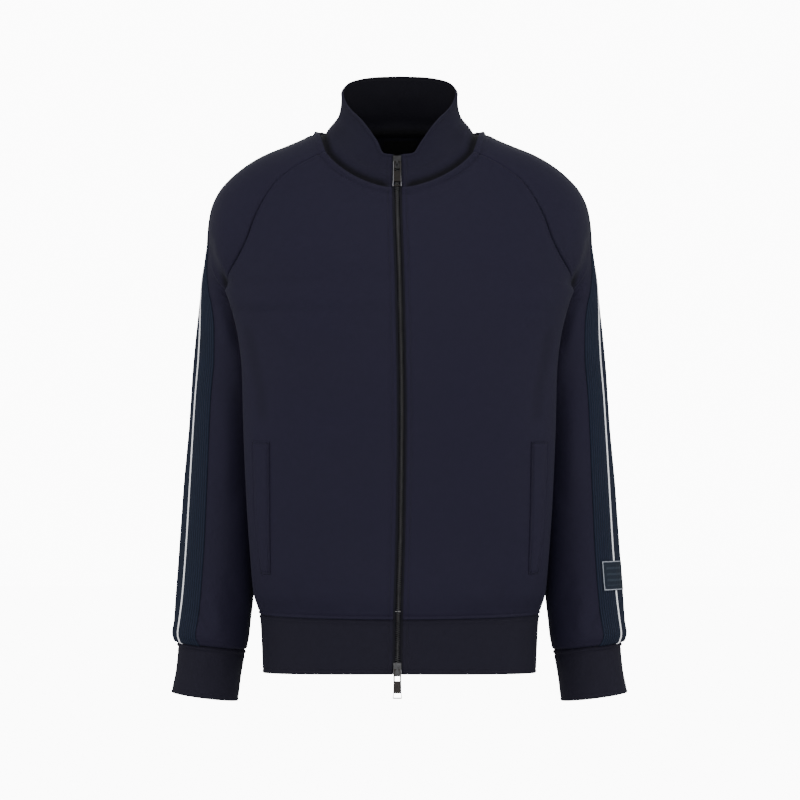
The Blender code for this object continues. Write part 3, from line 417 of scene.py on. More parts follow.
class SleeveForm:
    """The left sleeve's outer surface, read by row and by distance round from its back edge."""

    KEYS = (
        "row", "crown_x", "crown_y", "crown_z", "front_z", "front_share", "tucked", "front_turn",
        "front_depth", "back_z", "back_share", "back_turn", "back_depth", "drop", "inner_x", "inner_y",
        "inner_z",
    )

    def __init__(self, torso: TorsoForm) -> None:
        """Turn the two tables into one that can be read between its rows.

        Args:
            torso: the surface on which the open top's edges lie.
        """
        self.torso = torso
        top = [dict(zip(RAGLAN_COLUMNS, row)) for row in RAGLAN]
        tube = [dict(zip(TUBE_COLUMNS, row)) for row in TUBE]
        rows = [self._raglan_row(i, row) for i, row in enumerate(top)]
        rows += [self._tube_row(UNDERARM_ROW + i, ring) for i, ring in enumerate(tube)]
        self.profile = Profile(self.KEYS, rows)

    def _raglan_row(self, index: int, row: dict) -> tuple:
        """Fill in a row of the open top with its shares and depths.

        Args:
            index: the row's number.
            row: its sizes by the table's columns.

        Returns:
            The row's values, in the order of the keys.
        """
        front_share = self.torso.share_at_x(row["front_z"], row["front_x"], tucked=bool(row["tucked"]))
        if row["fold_y"]:
            back_share = self.torso.share_on_fold(row["back_z"], row["fold_y"])
        else:
            back_share = self.torso.share_at_x(row["back_z"], row["back_x"], back=True)
        depths = []
        for part, share in (("front", front_share), ("back", back_share)):
            end = self.torso.points(row[part + "_z"], share, part == "back")
            reach = abs(end[1] - row["crown_y"]) / math.sin(math.radians(row[part + "_turn"]))
            depths.append(row[part + "_depth"] or reach)
        return (
            index, row["crown_x"], row["crown_y"], row["crown_z"], row["front_z"], front_share,
            row["tucked"], row["front_turn"], depths[0], row["back_z"], back_share, row["back_turn"],
            depths[1], float(bool(row["fold_y"])), UNDERARM_X, UNDERARM_Y, UNDERARM_Z,
        )

    def _tube_row(self, index: int, ring: dict) -> tuple:
        """Fill in a closed ring, whose two ends meet on the inside of the arm.

        Args:
            index: the row's number.
            ring: its sizes by the table's columns.

        Returns:
            The row's values, in the order of the keys.
        """
        inner_y = UNDERARM_Y if index == UNDERARM_ROW else ring["y"]
        return (
            index, ring["crown_x"], ring["y"], ring["crown_z"], UNDERARM_Z, 1.0, 0.0, 180,
            ring["front_depth"], UNDERARM_Z, 1.0, 180, ring["back_depth"], 0.0, ring["inner_x"], inner_y,
            ring["inner_z"],
        )

    def halves(self, row: int) -> tuple[HalfRow, HalfRow]:
        """Work out the two halves of one of the table's rows.

        Args:
            row: the row's number.

        Returns:
            The back half and the front half.
        """
        value = {name: float(self.profile(name, row)) for name in self.KEYS[1:]}
        crown = np.array([value["crown_x"], value["crown_y"], value["crown_z"]])
        halves = []
        for part, forward in (("back", False), ("front", True)):
            if row <= UNDERARM_ROW:
                end = self.torso.points(value[part + "_z"], value[part + "_share"], not forward)
            else:
                end = np.array([value["inner_x"], value["inner_y"], value["inner_z"]])
            turn, depth = value[part + "_turn"], value[part + "_depth"]
            halves.append(HalfRow(crown, end, turn, depth, forward, value["tucked" if forward else "drop"]))
        return halves[0], halves[1]

    @cached_property
    def lines(self) -> list[tuple[np.ndarray, np.ndarray, float]]:
        """What is known of the rows.

        Returns:
            For each row: its points from back to front, their distances, and that of the band's middle.
        """
        lines = []
        for row in range(SLEEVE_ROWS + 1):
            back, front = self.halves(row)
            line = np.concatenate([back.points[:0:-1], front.points])
            distances = lengths(line)
            middle = distances[HalfRow.STEPS - 1] + float(BAND_MIDDLE("round", front.points[0][2]))
            lines.append((line, distances, middle))
        return lines

    def between(self, rows: np.ndarray | list, sample: Callable) -> np.ndarray:
        """Read between the table's rows, along the sleeve.

        Args:
            rows: the row numbers, not necessarily whole.
            sample: gives the same number of points for any row's line, distances and band middle.

        Returns:
            The points, row by row.
        """
        known = np.array([sample(*line) for line in self.lines])
        stations = np.arange(len(known), dtype=float)
        columns = known.reshape(len(known), -1).T
        found = [smooth(stations, column, np.asarray(rows)) for column in columns]
        return np.stack(found, axis=-1).reshape(len(rows), -1, 3)

    def grid(
        self, rows: np.ndarray, before: np.ndarray, on_band: np.ndarray, after: np.ndarray
    ) -> np.ndarray:
        """Sample the sleeve with the band's edges on two of its columns.

        Args:
            rows: the rows to sample.
            before: shares of the stretch from the back edge to the band.
            on_band: shares of the band's width.
            after: shares of the stretch from the band to the front edge.

        Returns:
            The points, row by row.
        """

        def sample(line: np.ndarray, distances: np.ndarray, middle: float) -> np.ndarray:
            """Take the columns' points of one row.

            Args:
                line: the row's points.
                distances: their distances.
                middle: the distance of the band's middle.

            Returns:
                The points, from the back edge to the front one.
            """
            low, high = middle - BAND_HALF_WIDTH, middle + BAND_HALF_WIDTH
            past_band = high + after[1:] * (distances[-1] - high)
            stretches = np.concatenate([before * low, low + on_band[1:] * (high - low), past_band])
            return read_line(line, distances, stretches)

        return self.between(rows, sample)

    def band_grid(self, rows: np.ndarray, offsets: np.ndarray) -> np.ndarray:
        """Sample a strip of the sleeve at these distances in front of the band's middle."""
        return self.between(
            rows, lambda line, distances, middle: read_line(line, distances, middle + offsets)
        )

    @cached_property
    def seams(self) -> dict[str, np.ndarray]:
        """Both raglan seams, as finely spaced points from the neck to the underarm."""
        rows = np.linspace(0, UNDERARM_ROW, 481)
        ends = self.between(rows, lambda line, distances, middle: line[[0, -1]])
        return {"back": ends[:, 0], "front": ends[:, 1]}

    def seam_point(self, part: str, row: float) -> np.ndarray:
        """Read a raglan seam at a row's number."""
        seam = self.seams[part]
        return read_line(seam, np.linspace(0, UNDERARM_ROW, len(seam)), row)

    def row_at_z(self, z: float) -> float:
        """Find the row whose band is at a height."""
        rows = np.linspace(UNDERARM_ROW, SLEEVE_ROWS, 60)
        levels = [self.band_grid([row], np.zeros(1))[0, 0, 2] for row in rows]
        return float(np.interp(-z, -np.array(levels), rows))


class PanelForm:
    """The front and back panels, which share the raglan seams with the sleeves."""

    SIDE_ROWS = 11
    # The last quarter of a row is drawn on to the sleeve's seam.
    QUARTERS = 4

    def __init__(self, torso: TorsoForm, sleeve: SleeveForm) -> None:
        """Keep the surface and the sleeve whose edges the panels share."""
        self.torso = torso
        self.sleeve = sleeve

    def _levels(self, part: str, row: float) -> tuple[float, float, float]:
        """Read where a row lies.

        Args:
            part: "front" or "back".
            row: the row's number, up from the hem seam.

        Returns:
            Its level in the middle, its level at the far edge, and how far round that edge is.
        """
        if row <= self.SIDE_ROWS:
            up = row / self.SIDE_ROWS
            middle_z = HEM_SEAM_MIDDLE_Z + (UNDERARM_Z - HEM_SEAM_MIDDLE_Z) * up
            return middle_z, HEM_SEAM_SIDE_Z + (UNDERARM_Z - HEM_SEAM_SIDE_Z) * up, 1.0
        neck_z = NECK_FRONT_Z if part == "front" else 0.0
        middle_z = UNDERARM_Z + (neck_z - UNDERARM_Z) * (row - self.SIDE_ROWS) / UNDERARM_ROW
        seam_row = self.last_row - row
        edge_z = float(self.sleeve.profile(part + "_z", seam_row))
        return middle_z, edge_z, float(self.sleeve.profile(part + "_share", seam_row))

    @property
    def last_row(self) -> int:
        """The number of the row at the neck seam."""
        return self.SIDE_ROWS + UNDERARM_ROW

    def row(self, part: str, row: float, across: np.ndarray, side: int = 1) -> np.ndarray:
        """Work out one row of a panel, from the middle to its far edge on the seam.

        Args:
            part: "front" or "back".
            row: the row's number, up from the hem seam.
            across: shares of the way to the far edge.
            side: 1 for the wearer's left and -1 for the right.

        Returns:
            The row's points, as if at +X.
        """
        points = self.row_between(part, *self._levels(part, row), across, side)
        if row > self.SIDE_ROWS:
            off = self.sleeve.seam_point(part, self.last_row - row) - points[-1]
            near_seam = np.clip(across * self.QUARTERS - (self.QUARTERS - 1), 0, 1)[:, None]
            points = points + near_seam**2 * off
        return points

    def row_between(
        self, part: str, middle_z: float, edge_z: float, edge_share: float, across: np.ndarray, side: int
    ) -> np.ndarray:
        """Work out a row between two levels.

        Args:
            part: "front" or "back".
            middle_z: the level at the zip or the middle back.
            edge_z: the level at the far edge.
            edge_share: how far round the far edge lies.
            across: shares of the way to the far edge.
            side: 1 for the wearer's left and -1 for the right, whose zip edges lie apart.

        Returns:
            The row's points, as if at +X.
        """
        start = 0.0
        if part == "front":
            start = self.torso.share_at_x(middle_z, ZIP_EDGE + side * float(ZIP_BOW("x", middle_z)))
        levels = middle_z + (edge_z - middle_z) * across**NECK_CURVE
        return self.torso.points(levels, start + (edge_share - start) * across, part == "back")


RIM = Profile(
    ("round", "x", "y", "z"),
    (
        (0.00, 6.0, -75, -32.5),
        (0.07, 19.5, -72, -30.5),
        (0.17, 31, -60, -13),
        (0.27, 43, -44, 4.5),
        (0.37, 53, -27, 17),
        (0.47, 63.5, -8, 28),
        (0.56, 70.5, 9, 38),
        (0.67, 75, 27, 52.5),
        (0.79, 67.5, 48, 65.5),
        (0.88, 53, 56.5, 71.5),
        (0.95, 29, 61, 75),
        (1.00, 0, 62, 76),
    ),
)
ZIP_SHARE = 0.17
COLLAR_FLARE = Profile(("round", "power"), ((0, 1.5), (0.25, 2.1), (0.5, 3.4), (0.75, 2.8), (1, 2.2)))
HEM_LEVELS = Profile(
    ("share", "side", "middle"),
    ((0, -691.5, -687.5), (0.32, -667, -665), (0.69, -641, -642), (1, HEM_SEAM_SIDE_Z, HEM_SEAM_MIDDLE_Z)),
)


def mirrored(grid: np.ndarray) -> np.ndarray:
    """Mirror a grid to the other side, its columns turned round so that it still faces outwards."""
    return grid[:, ::-1] * (-1, 1, 1)


def whole(half_plus: np.ndarray, half_minus: np.ndarray) -> np.ndarray:
    """Join two half grids that end at the middle back, from the edge at +X round to the one at -X."""
    return np.concatenate([half_plus, mirrored(half_minus)[:, 1:]], axis=1)


class GarmentForm:
    """All the outer surfaces of the garment."""

    def __init__(self) -> None:
        """Build the forms that the pieces are cut from."""
        self.torso = TorsoForm()
        self.sleeve = SleeveForm(self.torso)
        self.panels = PanelForm(self.torso, self.sleeve)

    def half_collar(
        self, side: int, across: np.ndarray, shoulder: np.ndarray, heights: np.ndarray
    ) -> np.ndarray:
        """Work out half the collar, from the zip to the middle back and from the seam up to the rim.

        Args:
            side: 1 for the wearer's left and -1 for the right.
            across: shares of the way over the front's and the back's stretch of the seam.
            shoulder: shares of the way over the sleeve's stretch of it.
            heights: shares of the way up.

        Returns:
            The points, row by row, as if at +X.
        """
        front = self.panels.row("front", self.panels.last_row, across, side)
        line, distances, _ = self.sleeve.lines[0]
        over = read_line(line, distances, (1 - shoulder) * distances[-1])
        back = self.panels.row("back", self.panels.last_row, across)[::-1]
        base = np.concatenate([front, over[1:], back[1:]])
        share = lengths(base) / lengths(base)[-1]
        top = np.stack([RIM(name, share) for name in "xyz"], axis=-1)
        top[:, 0] += (base[0, 0] - top[0, 0]) * np.clip(1 - share / ZIP_SHARE, 0, 1)
        rows = []
        for height in heights:
            inward = (1 - (1 - height) ** COLLAR_FLARE("power", share))[:, None]
            row = base + (top - base) * inward
            row[:, 2] = base[:, 2] + (top[:, 2] - base[:, 2]) * height
            rows.append(row)
        return np.array(rows)

    def half_hem(self, side: int, across: np.ndarray, heights: np.ndarray) -> np.ndarray:
        """Work out half the hem band, from the zip to the middle back and from the fold up to the seam.

        Args:
            side: 1 for the wearer's left and -1 for the right.
            across: shares of the way to the side.
            heights: shares of the way up.

        Returns:
            The points, row by row, as if at +X.
        """
        rows = []
        for height in heights:
            levels = (float(HEM_LEVELS("middle", height)), float(HEM_LEVELS("side", height)), 1.0)
            front = self.panels.row_between("front", *levels, across, side)
            back = self.panels.row_between("back", *levels, across, side)
            rows.append(np.concatenate([front, back[::-1][1:]]))
        return np.array(rows)

    def cuff(self, shares: np.ndarray, heights: np.ndarray) -> np.ndarray:
        """Work out the left cuff, from its seam down to its edge.

        Args:
            shares: shares of the way round from the inner seam.
            heights: shares of the way down.

        Returns:
            The points, row by row.
        """
        names = ("row", *TUBE_COLUMNS)
        table = Profile(names, [(i / (len(CUFF) - 1), *row) for i, row in enumerate(CUFF)])
        rows = []
        for height in heights:
            ring = {name: float(table(name, height)) for name in TUBE_COLUMNS}
            crown = np.array([ring["crown_x"], ring["y"], ring["crown_z"]])
            inner = np.array([ring["inner_x"], ring["y"], ring["inner_z"]])
            back = HalfRow(crown, inner, 180, ring["back_depth"], False).points
            front = HalfRow(crown, inner, 180, ring["front_depth"], True).points
            line = np.concatenate([back[:0:-1], front])
            distances = lengths(line)
            rows.append(read_line(line, distances, shares * distances[-1]))
        return np.array(rows)


# ---- Node trees and finishes ----


class NodeTree:
    """Adds nodes to a material's or a Geometry Nodes tree by type, settings and inputs."""

    def __init__(self, tree: bpy.types.NodeTree) -> None:
        """Start on a tree."""
        self.tree = tree

    def node(self, kind: str, settings: dict | None = None, inputs: dict | None = None) -> bpy.types.Node:
        """Add a node.

        Args:
            kind: the node's type.
            settings: its own settings, set before its sockets.
            inputs: values or links for its inputs, by name or number.

        Returns:
            The node.
        """
        node = self.tree.nodes.new(kind)
        for name, value in (settings or {}).items():
            setattr(node, name, value)
        for key, value in (inputs or {}).items():
            value = value.socket if isinstance(value, Link) else value
            if isinstance(value, bpy.types.NodeSocket):
                self.tree.links.new(value, node.inputs[key])
            else:
                node.inputs[key].default_value = value
        return node

    def link(
        self, kind: str, settings: dict | None = None, inputs: dict | None = None, out: int | str = 0
    ) -> "Link":
        """Add a node and wrap one of its outputs."""
        return Link(self, self.node(kind, settings, inputs).outputs[out])

    def feed(self, node: bpy.types.Node, name: str, value: "Link") -> None:
        """Link a value to an input of a node that is there already."""
        self.tree.links.new(value.socket, node.inputs[name])


@dataclass
class Link:
    """A number that a node gives, with Python's operators adding Math nodes."""

    tree: NodeTree
    socket: bpy.types.NodeSocket

    def math(self, operation: str, *others: "float | Link", first: bool = True) -> "Link":
        """Add a Math node.

        Args:
            operation: the node's operation.
            others: its other operands, numbers or links.
            first: whether this value is the first operand.

        Returns:
            The result.
        """
        operands = [self, *others] if first else [*others, self]
        return self.tree.link("ShaderNodeMath", {"operation": operation}, dict(enumerate(operands)))

    def __add__(self, other: "float | Link") -> "Link":
        """Add."""
        return self.math("ADD", other)

    __radd__ = __add__

    def __sub__(self, other: "float | Link") -> "Link":
        """Subtract."""
        return self.math("SUBTRACT", other)

    def __rsub__(self, other: "float | Link") -> "Link":
        """Subtract this value from another."""
        return self.math("SUBTRACT", other, first=False)

    def __mul__(self, other: "float | Link") -> "Link":
        """Multiply."""
        return self.math("MULTIPLY", other)

    __rmul__ = __mul__

    def __gt__(self, other: "float | Link") -> "Link":
        """Give 1 where this value is greater and 0 elsewhere."""
        return self.math("GREATER_THAN", other)

    def __lt__(self, other: "float | Link") -> "Link":
        """Give 1 where this value is less and 0 elsewhere."""
        return self.math("LESS_THAN", other)

    def sine(self) -> "Link":
        """Take the sine."""
        return self.math("SINE")

    def size(self) -> "Link":
        """Take the absolute value."""
        return self.math("ABSOLUTE")

    def wave(self, pitch: float, start: float = 0.0) -> "Link":
        """Make a wave from 0 to 1 of this pitch, which starts this many radians late."""
        turn = self * (2 * math.pi / pitch)
        return (turn - start if start else turn).sine() * 0.5 + 0.5

    def mix(self, low: "tuple | Link", high: "tuple | Link") -> "Link":
        """Mix two colours by this value."""
        ends = [(*colour, 1.0) if isinstance(colour, tuple) else colour for colour in (low, high)]
        settings = {"data_type": "RGBA", "clamp_factor": True}
        return self.tree.link("ShaderNodeMix", settings, {"Factor": self, 6: ends[0], 7: ends[1]}, out=2)


@dataclass(frozen=True)
class Finish:
    """What all the finishes share: a name and the constants of the shader."""

    name: str
    roughness: float = 0.8
    sheen: float = 0.0
    sheen_roughness: float = 0.45
    sheen_tint: tuple = (0.5, 0.55, 0.7)
    specular: float = 0.18
    metallic: float = 0.0
    glow: float = 0.0

    def material(self) -> bpy.types.Material:
        """Build the material once.

        Returns:
            The material.
        """
        if self.name in bpy.data.materials:
            return bpy.data.materials[self.name]
        material = bpy.data.materials.new(self.name)
        material.use_nodes = True
        material.node_tree.nodes.clear()
        tree = NodeTree(material.node_tree)
        shader = tree.node("ShaderNodeBsdfPrincipled", {}, {
            "Roughness": self.roughness,
            "Sheen Weight": self.sheen,
            "Sheen Roughness": self.sheen_roughness,
            "Sheen Tint": (*self.sheen_tint, 1.0),
            "Specular IOR Level": self.specular,
            "Metallic": self.metallic,
            "Emission Strength": self.glow,
        })
        tree.node("ShaderNodeOutputMaterial", {}, {"Surface": shader.outputs[0]})
        self.paint(tree, shader)
        return material

    def paint(self, tree: NodeTree, shader: bpy.types.Node) -> None:
        """Add what changes over the surface.

        Args:
            tree: the material's tree.
            shader: its shader.
        """
        raise NotImplementedError

    @staticmethod
    def cloth_uv(tree: NodeTree) -> tuple[Link, Link]:
        """Give the piece's own coordinates in metres, across and along the cloth."""
        uv = tree.link("ShaderNodeUVMap", {"uv_map": "cloth"})
        parts = tree.node("ShaderNodeSeparateXYZ", {}, {"Vector": uv})
        return Link(tree, parts.outputs["X"]), Link(tree, parts.outputs["Y"])

    @staticmethod
    def noise(tree: NodeTree, scale: float, detail: float = 2.0, vector: Link | None = None) -> Link:
        """Add noise on the object's own coordinates, or on those given."""
        if vector is None:
            vector = tree.link("ShaderNodeTexCoord", out="Object")
        return tree.link("ShaderNodeTexNoise", {}, {"Vector": vector, "Scale": scale, "Detail": detail})

    @staticmethod
    def stretched(tree: NodeTree, across: Link, along: Link, width: float, length: float) -> Link:
        """Make coordinates on which a pattern is this wide and this long, in metres."""
        return tree.link("ShaderNodeCombineXYZ", {}, {"X": across * (1 / width), "Y": along * (1 / length)})

    @staticmethod
    def raise_surface(tree: NodeTree, shader: bpy.types.Node, height: Link, distance: float) -> None:
        """Bump the surface by a height from 0 to 1 over a distance in metres."""
        inputs = {"Height": height, "Distance": distance, "Strength": 1.0}
        tree.feed(shader, "Normal", tree.link("ShaderNodeBump", {}, inputs, out="Normal"))


@dataclass(frozen=True)
class KnitFinish(Finish):
    """A smooth knit: rows of fine loops, a little slub, slow changes of tone, and painted shade in its
    hollows.
    """

    dark: tuple = (0.010, 0.0105, 0.019)
    light: tuple = (0.014, 0.0145, 0.025)
    wale: float = 0.0011
    course: float = 0.0009
    slub_width: float = 0.0025
    slub_length: float = 0.012
    slow_scale: float = 9.0
    relief: float = 0.00012
    rib_pitch: float = 0.0
    # How dark the painted shade in the hollows gets, as a share of the dark tone.
    in_hollows: float = 0.3
    roughness_spread: float = 0.14

    def paint(self, tree: NodeTree, shader: bpy.types.Node) -> None:
        """Paint the knit's tone, with painted shade in the cloth's hollows and between a band's ribs, and
        raise its loops.

        Args:
            tree: the material's tree.
            shader: its shader.
        """
        across, along = self.cloth_uv(tree)
        loops = across.wave(self.wale)
        rows = along.wave(self.course)
        streaks = self.stretched(tree, across, along, self.slub_width, self.slub_length)
        slub = self.noise(tree, 1.0, 2.0, streaks)
        slow = self.noise(tree, self.slow_scale, 3.0)
        shade = slow * 0.55 + slub * 0.3 + loops * rows * 0.15
        # Painted shade: on ribbed bands the colour is lighter on the ribs' crests and darker in the grooves
        # between them.
        if self.rib_pitch:
            shade = shade * 0.4 + across.wave(self.rib_pitch, math.pi / 2) * 0.6
        # Painted shade: the colour darkens to near black where the cloth's relief lies deep, in creases,
        # seams and troughs.
        hollow = tree.link("ShaderNodeAttribute", {"attribute_name": "hollow"}, out="Fac")
        colour = hollow.mix(shade.mix(self.dark, self.light), tuple(self.in_hollows * c for c in self.dark))
        least = self.roughness - self.roughness_spread / 2
        tree.feed(shader, "Base Color", colour)
        tree.feed(shader, "Roughness", slow * self.roughness_spread + least)
        self.raise_surface(tree, shader, loops * rows * 0.75 + slub * 0.25, self.relief)


@dataclass(frozen=True)
class YarnFinish(Finish):
    """A woven or corded trim: slanting yarns in two close shades."""

    dark: tuple = (0.6, 0.6, 0.66)
    light: tuple = (0.85, 0.85, 0.9)
    pitch: float = 0.0012
    slope: float = 0.8
    fuzz_scale: float = 900.0
    relief: float = 0.0002

    def paint(self, tree: NodeTree, shader: bpy.types.Node) -> None:
        """Paint the yarns, which may glow a little as painted light, and raise them.

        Args:
            tree: the material's tree.
            shader: its shader.
        """
        across, along = self.cloth_uv(tree)
        slant = (along + across * self.slope).wave(self.pitch)
        shade = slant * 0.6 + self.noise(tree, self.fuzz_scale) * 0.4
        colour = shade.mix(self.dark, self.light)
        tree.feed(shader, "Base Color", colour)
        # Painted light: the yarns' colour glows.
        if self.glow:
            tree.feed(shader, "Emission Color", colour)
        self.raise_surface(tree, shader, shade, self.relief)


@dataclass(frozen=True)
class PatchFinish(Finish):
    """The woven patch: a dark twill field with plain raised bars, inside a thin pale border."""

    width: float = 0.043
    length: float = 0.038
    border: float = 0.0017
    hem: float = 0.0004
    bar_pitch: float = 0.0076
    bar_share: float = 0.35
    bar_margin: float = 0.006
    twill_pitch: float = 0.0011
    fuzz_scale: float = 1200.0
    relief: float = 0.00025
    pale: tuple = (0.42, 0.45, 0.52)
    field_dark: tuple = (0.010, 0.016, 0.028)
    field_light: tuple = (0.030, 0.042, 0.062)

    def paint(self, tree: NodeTree, shader: bpy.types.Node) -> None:
        """Paint the border, the field and its bars.

        Args:
            tree: the material's tree.
            shader: its shader.
        """
        across, along = self.cloth_uv(tree)
        from_side = self.width / 2 - (across - self.width / 2).size()
        from_end = self.length / 2 - (along - self.length / 2).size()
        edge = from_side.math("MINIMUM", from_end)
        border = (edge < self.border) * (edge > self.hem)
        twill = (across + along).wave(self.twill_pitch)
        fuzz = self.noise(tree, self.fuzz_scale)
        turn = along * (2 * math.pi / self.bar_pitch)
        bars = (turn.sine() > self.bar_share) * (edge > self.bar_margin)
        field = (bars * 0.65 + twill * 0.2 + fuzz * 0.15).mix(self.field_dark, self.field_light)
        stitched = (twill * 0.5 + fuzz * 0.5).mix(tuple(0.75 * c for c in self.pale), self.pale)
        tree.feed(shader, "Base Color", border.mix(field, stitched))
        self.raise_surface(tree, shader, bars * 0.5 + border * 0.6 + twill * 0.25, self.relief)


@dataclass(frozen=True)
class MetalFinish(Finish):
    """Polished gunmetal with fine wear."""

    dark: tuple = (0.06, 0.06, 0.063)
    light: tuple = (0.21, 0.21, 0.22)
    # Painted highlight: beyond a distance in x from a middle, the colour turns to the lighter rim colour.
    rim_middle: float = 0.0
    rim_from: float = 0.0
    rim: tuple = (0.30, 0.30, 0.33)
    slow_scale: float = 260.0
    fine_scale: float = 2600.0
    roughness_spread: float = 0.24
    relief: float = 0.00003

    def paint(self, tree: NodeTree, shader: bpy.types.Node) -> None:
        """Paint slow changes of tone, any painted highlights on the rims, and roughness and fine scratches
        to match.

        Args:
            tree: the material's tree.
            shader: its shader.
        """
        slow = self.noise(tree, self.slow_scale, 3.0)
        fine = self.noise(tree, self.fine_scale)
        shade = slow * 0.7 + fine * 0.3
        colour = shade.mix(self.dark, self.light)
        # Painted highlight: lighter colour on the rims, away from the middle in x.
        if self.rim_from:
            place = tree.link("ShaderNodeTexCoord", out="Object")
            across = tree.link("ShaderNodeSeparateXYZ", {}, {"Vector": place}, out="X")
            colour = ((across - self.rim_middle).size() > self.rim_from).mix(colour, self.rim)
        least = self.roughness - self.roughness_spread / 2
        tree.feed(shader, "Base Color", colour)
        tree.feed(shader, "Roughness", shade * self.roughness_spread + least)
        self.raise_surface(tree, shader, fine, self.relief)


@dataclass(frozen=True)
class StageFinish(Finish):
    """The even white of the studio."""

    glow: float = 11.0
    white: float = 0.93

    def paint(self, tree: NodeTree, shader: bpy.types.Node) -> None:
        """Paint plain white with a soft glow."""
        shader.inputs["Base Color"].default_value = (self.white, self.white, self.white, 1.0)
        shader.inputs["Emission Color"].default_value = (1.0, 1.0, 1.0, 1.0)


class Finishes(Enum):
    """The finishes of the garment, each with the record's slot that it belongs to."""

    JERSEY = ("jersey", KnitFinish(
        "soft_jersey", 0.74, sheen=0.04, dark=(0.0112, 0.0099, 0.0250), light=(0.0158, 0.0137, 0.0330),
    ))
    # Painted shade: the collar is the body's jersey painted darker, for the shade that falls on it.
    COLLAR = ("jersey", KnitFinish(
        "collar_jersey", 0.76, sheen=0.03, dark=(0.0094, 0.0084, 0.0208), light=(0.0134, 0.0118, 0.0280),
    ))
    # Painted shade: the insides of the jersey and rib pieces are painted much darker, for the shade inside
    # the garment.
    INSIDE = ("jersey", KnitFinish(
        "jersey_reverse", 0.9, dark=(0.0036, 0.0034, 0.0066), light=(0.0056, 0.0052, 0.0096),
        relief=0.00005,
    ))
    RIB_KNIT = ("rib_knit", KnitFinish(
        "firm_rib_knit", 0.8, sheen=0.03, dark=(0.0098, 0.0088, 0.0180), light=(0.0146, 0.0134, 0.0255),
        wale=0.0016, course=0.0009, relief=0.0002,
    ))
    # The band's wide span from dark to light carries the painted shade between its ribs.
    SIDE_BAND = ("side_band", KnitFinish(
        "ribbed_band_knit", 0.66, sheen=0.04, dark=(0.0030, 0.0058, 0.0140), light=(0.0110, 0.0178, 0.0420),
        wale=0.0008, course=0.0009, relief=0.00008, rib_pitch=0.058 / 18,
    ))
    # Painted light: the white piping glows a little, brighter than the lamps make it.
    PIPING = ("piping", YarnFinish(
        "white_piping", 0.7, sheen=0.2, glow=0.5, dark=(0.88, 0.89, 0.94), light=(0.96, 0.97, 0.99),
    ))
    THREAD = ("jersey", YarnFinish(
        "dark_thread", 0.55, dark=(0.010, 0.010, 0.017), light=(0.020, 0.021, 0.032), pitch=0.0009,
    ))
    PATCH = ("woven_patch", PatchFinish("woven_patch_cloth", 0.7))
    LABEL = ("neck_label", YarnFinish(
        "black_satin_label", 0.5, dark=(0.002, 0.002, 0.0022), light=(0.005, 0.005, 0.0055), pitch=0.0006,
        relief=0.00005,
    ))
    TAPE = ("zip_tape", YarnFinish(
        "dark_zip_tape", 0.8, dark=(0.009, 0.009, 0.014), light=(0.016, 0.016, 0.024), pitch=0.0014,
    ))
    METAL = ("zip_metal", MetalFinish("gunmetal", 0.34, metallic=1.0))
    # Painted highlight: the pulls' side rims are painted bright.
    PULL = ("zip_metal", MetalFinish(
        "gunmetal_pull", 0.4, metallic=1.0, dark=(0.016, 0.015, 0.015), light=(0.050, 0.045, 0.042),
        rim_middle=-0.0028, rim_from=0.0046,
    ))
    SLIDER = ("zip_metal", MetalFinish(
        "gunmetal_slider", 0.38, metallic=1.0, dark=(0.022, 0.022, 0.024), light=(0.13, 0.13, 0.135),
    ))

    @property
    def slot(self) -> str:
        """The record's slot."""
        return self.value[0]

    @property
    def material(self) -> bpy.types.Material:
        """The finish's material."""
        return self.value[1].material()


# ---- Cloth pieces ----


class View(Enum):
    """The side from which a crease is drawn, as its (across, up) axes and the way it faces."""

    FRONT = ((0, 2), (0, -1, 0))
    BACK = ((0, 2), (0, 1, 0))
    LEFT = ((1, 2), (1, 0, 0))
    RIGHT = ((1, 2), (-1, 0, 0))


@dataclass(frozen=True)
class Crease:
    """A soft ridge or trough along a line, seen from one side, fading at its ends."""

    view: View
    path: tuple
    depth: float
    width: float
    fade: float = 0.25

    # How soon a crease comes up to its full depth as the surface turns to face its side.
    TURN_QUICKNESS = 3

    def relief(self, points: np.ndarray, normals: np.ndarray) -> np.ndarray:
        """Work out how far the crease moves each point along its normal.

        Args:
            points: the points in millimetres.
            normals: their normals.

        Returns:
            The distances, positive outwards.
        """
        axes, facing = self.view.value
        seen = points[..., list(axes)]
        corners = np.array(self.path, float)
        nearest = np.full(seen.shape[:-1], np.inf)
        place = np.zeros(seen.shape[:-1])
        start, total = 0.0, lengths(corners)[-1]
        for a, b in zip(corners, corners[1:]):
            length = np.linalg.norm(b - a)
            t = np.clip(((seen - a) @ (b - a)) / length**2, 0, 1)
            gap = np.linalg.norm(seen - (a + t[..., None] * (b - a)), axis=-1)
            closer = gap < nearest
            nearest = np.where(closer, gap, nearest)
            place = np.where(closer, (start + t * length) / total, place)
            start += length
        ends = np.clip(np.minimum(place, 1 - place) / self.fade, 0, 1)
        turned = np.clip((normals @ np.array(facing, float)) * self.TURN_QUICKNESS, 0, 1)
        return self.depth * np.exp(-((nearest / self.width) ** 2)) * ends * ends * (3 - 2 * ends) * turned


@dataclass(frozen=True)
class EdgeLine:
    """A ridge or groove that runs along an edge of a piece, at a distance from it."""

    at: float
    width: float
    depth: float


